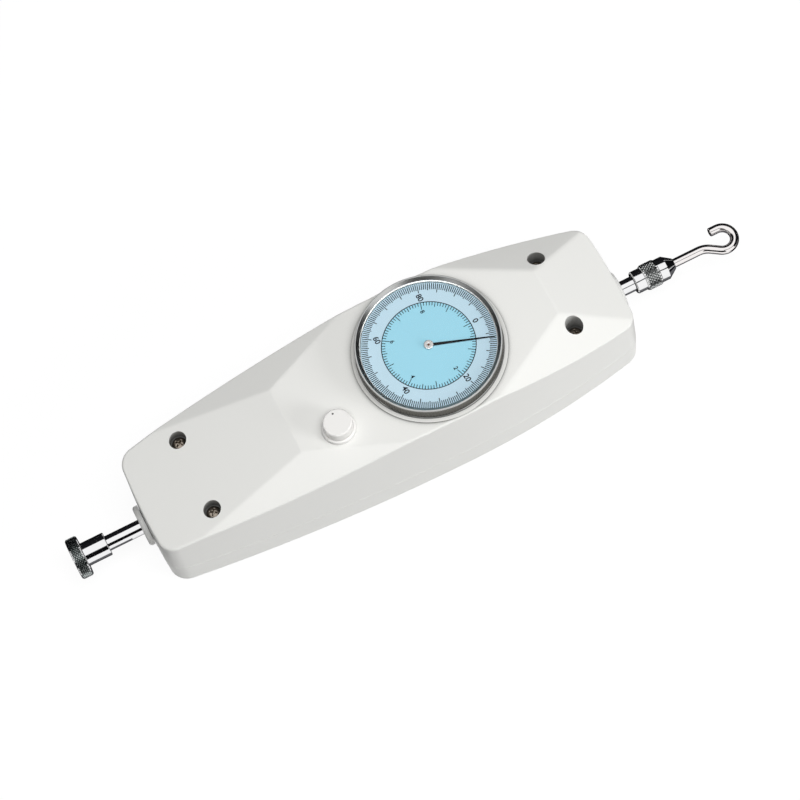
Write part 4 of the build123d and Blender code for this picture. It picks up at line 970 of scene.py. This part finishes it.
def flatCard(name, centre, size, facing, material):
    bm = bmesh.new()
    bmesh.ops.create_grid(bm, x_segments=1, y_segments=1, size=0.5)
    bmesh.ops.scale(bm, vec=size + (1.0,), verts=bm.verts)
    aim = Vector(facing).to_track_quat("Z", "Y").to_matrix().to_4x4()
    bm.transform(Matrix.Translation(centre) @ aim)
    card = makeObject(name, bm, material)


up = (0, 0, 1)
flatCard("floorPaper", (0, 0, 0), backdrop["size"], up, backdropMaterial(backdrop))

# each card: centre, width and height, and the way it faces
blackCards = {
    "cardBehind": ((0.0, 0.55, 0.46), (1.8, 0.92), (0, -1, 0)),
    "cardLeftLens": ((-0.40, -0.737, 0.529), (0.86, 0.70), (0, 0.82, -0.57)),
    "cardRightLens": ((0.36, -0.445, 0.79), (0.66, 0.16), (0, 0.5, -0.87)),
    "cardRight": ((0.60, 0.05, 0.36), (1.1, 0.72), (-1, 0, 0)),
    "cardLeft": ((-0.70, 0.0, 0.28), (1.2, 0.56), (1, 0, 0)),
    "cardFloorLeft": ((-0.27, 0.30, 0.0006), (0.29, 0.594), up),
    "cardFloorRight": ((0.225, 0.30, 0.0006), (0.29, 0.594), up),
    "cardFloorHook": ((0.29, -0.03, 0.0006), (0.32, 0.066), up),
}
# painted shadow: grey cards on the floor under the rods stand in for the rods' contact shadow,
# seen only in reflections
paintedShadowCards = {
    "greyUnderLeft": ((-0.20, -0.011, 0.0006), (0.14, 0.026), up),
    "greyUnderRight": ((0.105, -0.011, 0.0006), (0.05, 0.026), up),
}
cardTones = {"blackCard": (0.010, 0.010, 0.012), "greyCard": (0.16, 0.16, 0.17)}


def cardMaterial(name, tone):
    # cards that only reflections can see
    material, tree = bareMaterial(name)
    dark = addNode(tree, "ShaderNodeBsdfDiffuse", {"Color": tone + (1,)})
    clear = addNode(tree, "ShaderNodeBsdfTransparent")
    path = addNode(tree, "ShaderNodeLightPath").outputs
    mixedSurface(tree, path["Is Glossy Ray"], clear, dark)
    return material


for toneName, group in (("blackCard", blackCards), ("greyCard", paintedShadowCards)):
    cardPaper = cardMaterial(toneName, cardTones[toneName])
    for cardName, (centre, size, facing) in group.items():
        flatCard(cardName, centre, size, facing, cardPaper)

lampAim = Vector((0, 0, 0.02))
lamps = {
    "topLamp": {"place": (0.05, -0.25, 1.25), "size": (1.2, 1.0), "power": 16.4},
    "sideLamp": {"place": (1.10, -1.20, 0.55), "size": (0.6, 0.6), "power": 12.8},
}
for lampName, lamp in lamps.items():
    light = bpy.data.lights.new(lampName, "AREA")
    light.shape = "RECTANGLE"
    light.size, light.size_y = lamp["size"]
    light.energy = lamp["power"]
    holder = bpy.data.objects.new(lampName, light)
    holder.location = lamp["place"]
    holder.rotation_euler = (lampAim - holder.location).to_track_quat("-Z", "Y").to_euler()
    holder.visible_glossy = False
    scene.collection.objects.link(holder)


def buildWorld(look):
    world = bpy.data.worlds.new("studio")
    world.use_nodes = True
    scene.world = world
    tree = world.node_tree
    soft = tree.nodes["Background"]
    soft.inputs["Color"].default_value = pureWhite
    soft.inputs["Strength"].default_value = look["ambient"]
    white = addNode(tree, "ShaderNodeBackground", {"Color": pureWhite, "Strength": look["white"]})
    mixedSurface(tree, seenDirectly(tree), soft, white)


buildWorld(surround)
print("studio lit")


# camera

viewpoint = {"place": (-0.1104, -0.4175, 1.0280), "aim": (-0.0165, -0.0033, 0.0200),
             "roll": -14.52, "lens": 130.44, "sensor": 36.0, "near": 0.01, "far": 20.0}


def placeCamera(look):
    data = bpy.data.cameras.new("camera")
    data.lens = look["lens"]
    data.sensor_width = look["sensor"]
    data.clip_start, data.clip_end = look["near"], look["far"]
    camera = bpy.data.objects.new("camera", data)
    camera.location = look["place"]
    heading = (Vector(look["aim"]) - camera.location).to_track_quat("-Z", "Y")
    roll = Quaternion((0, 0, 1), math.radians(look["roll"]))
    camera.rotation_euler = (heading @ roll).to_euler()
    scene.collection.objects.link(camera)
    scene.camera = camera


placeCamera(viewpoint)
print("camera placed")
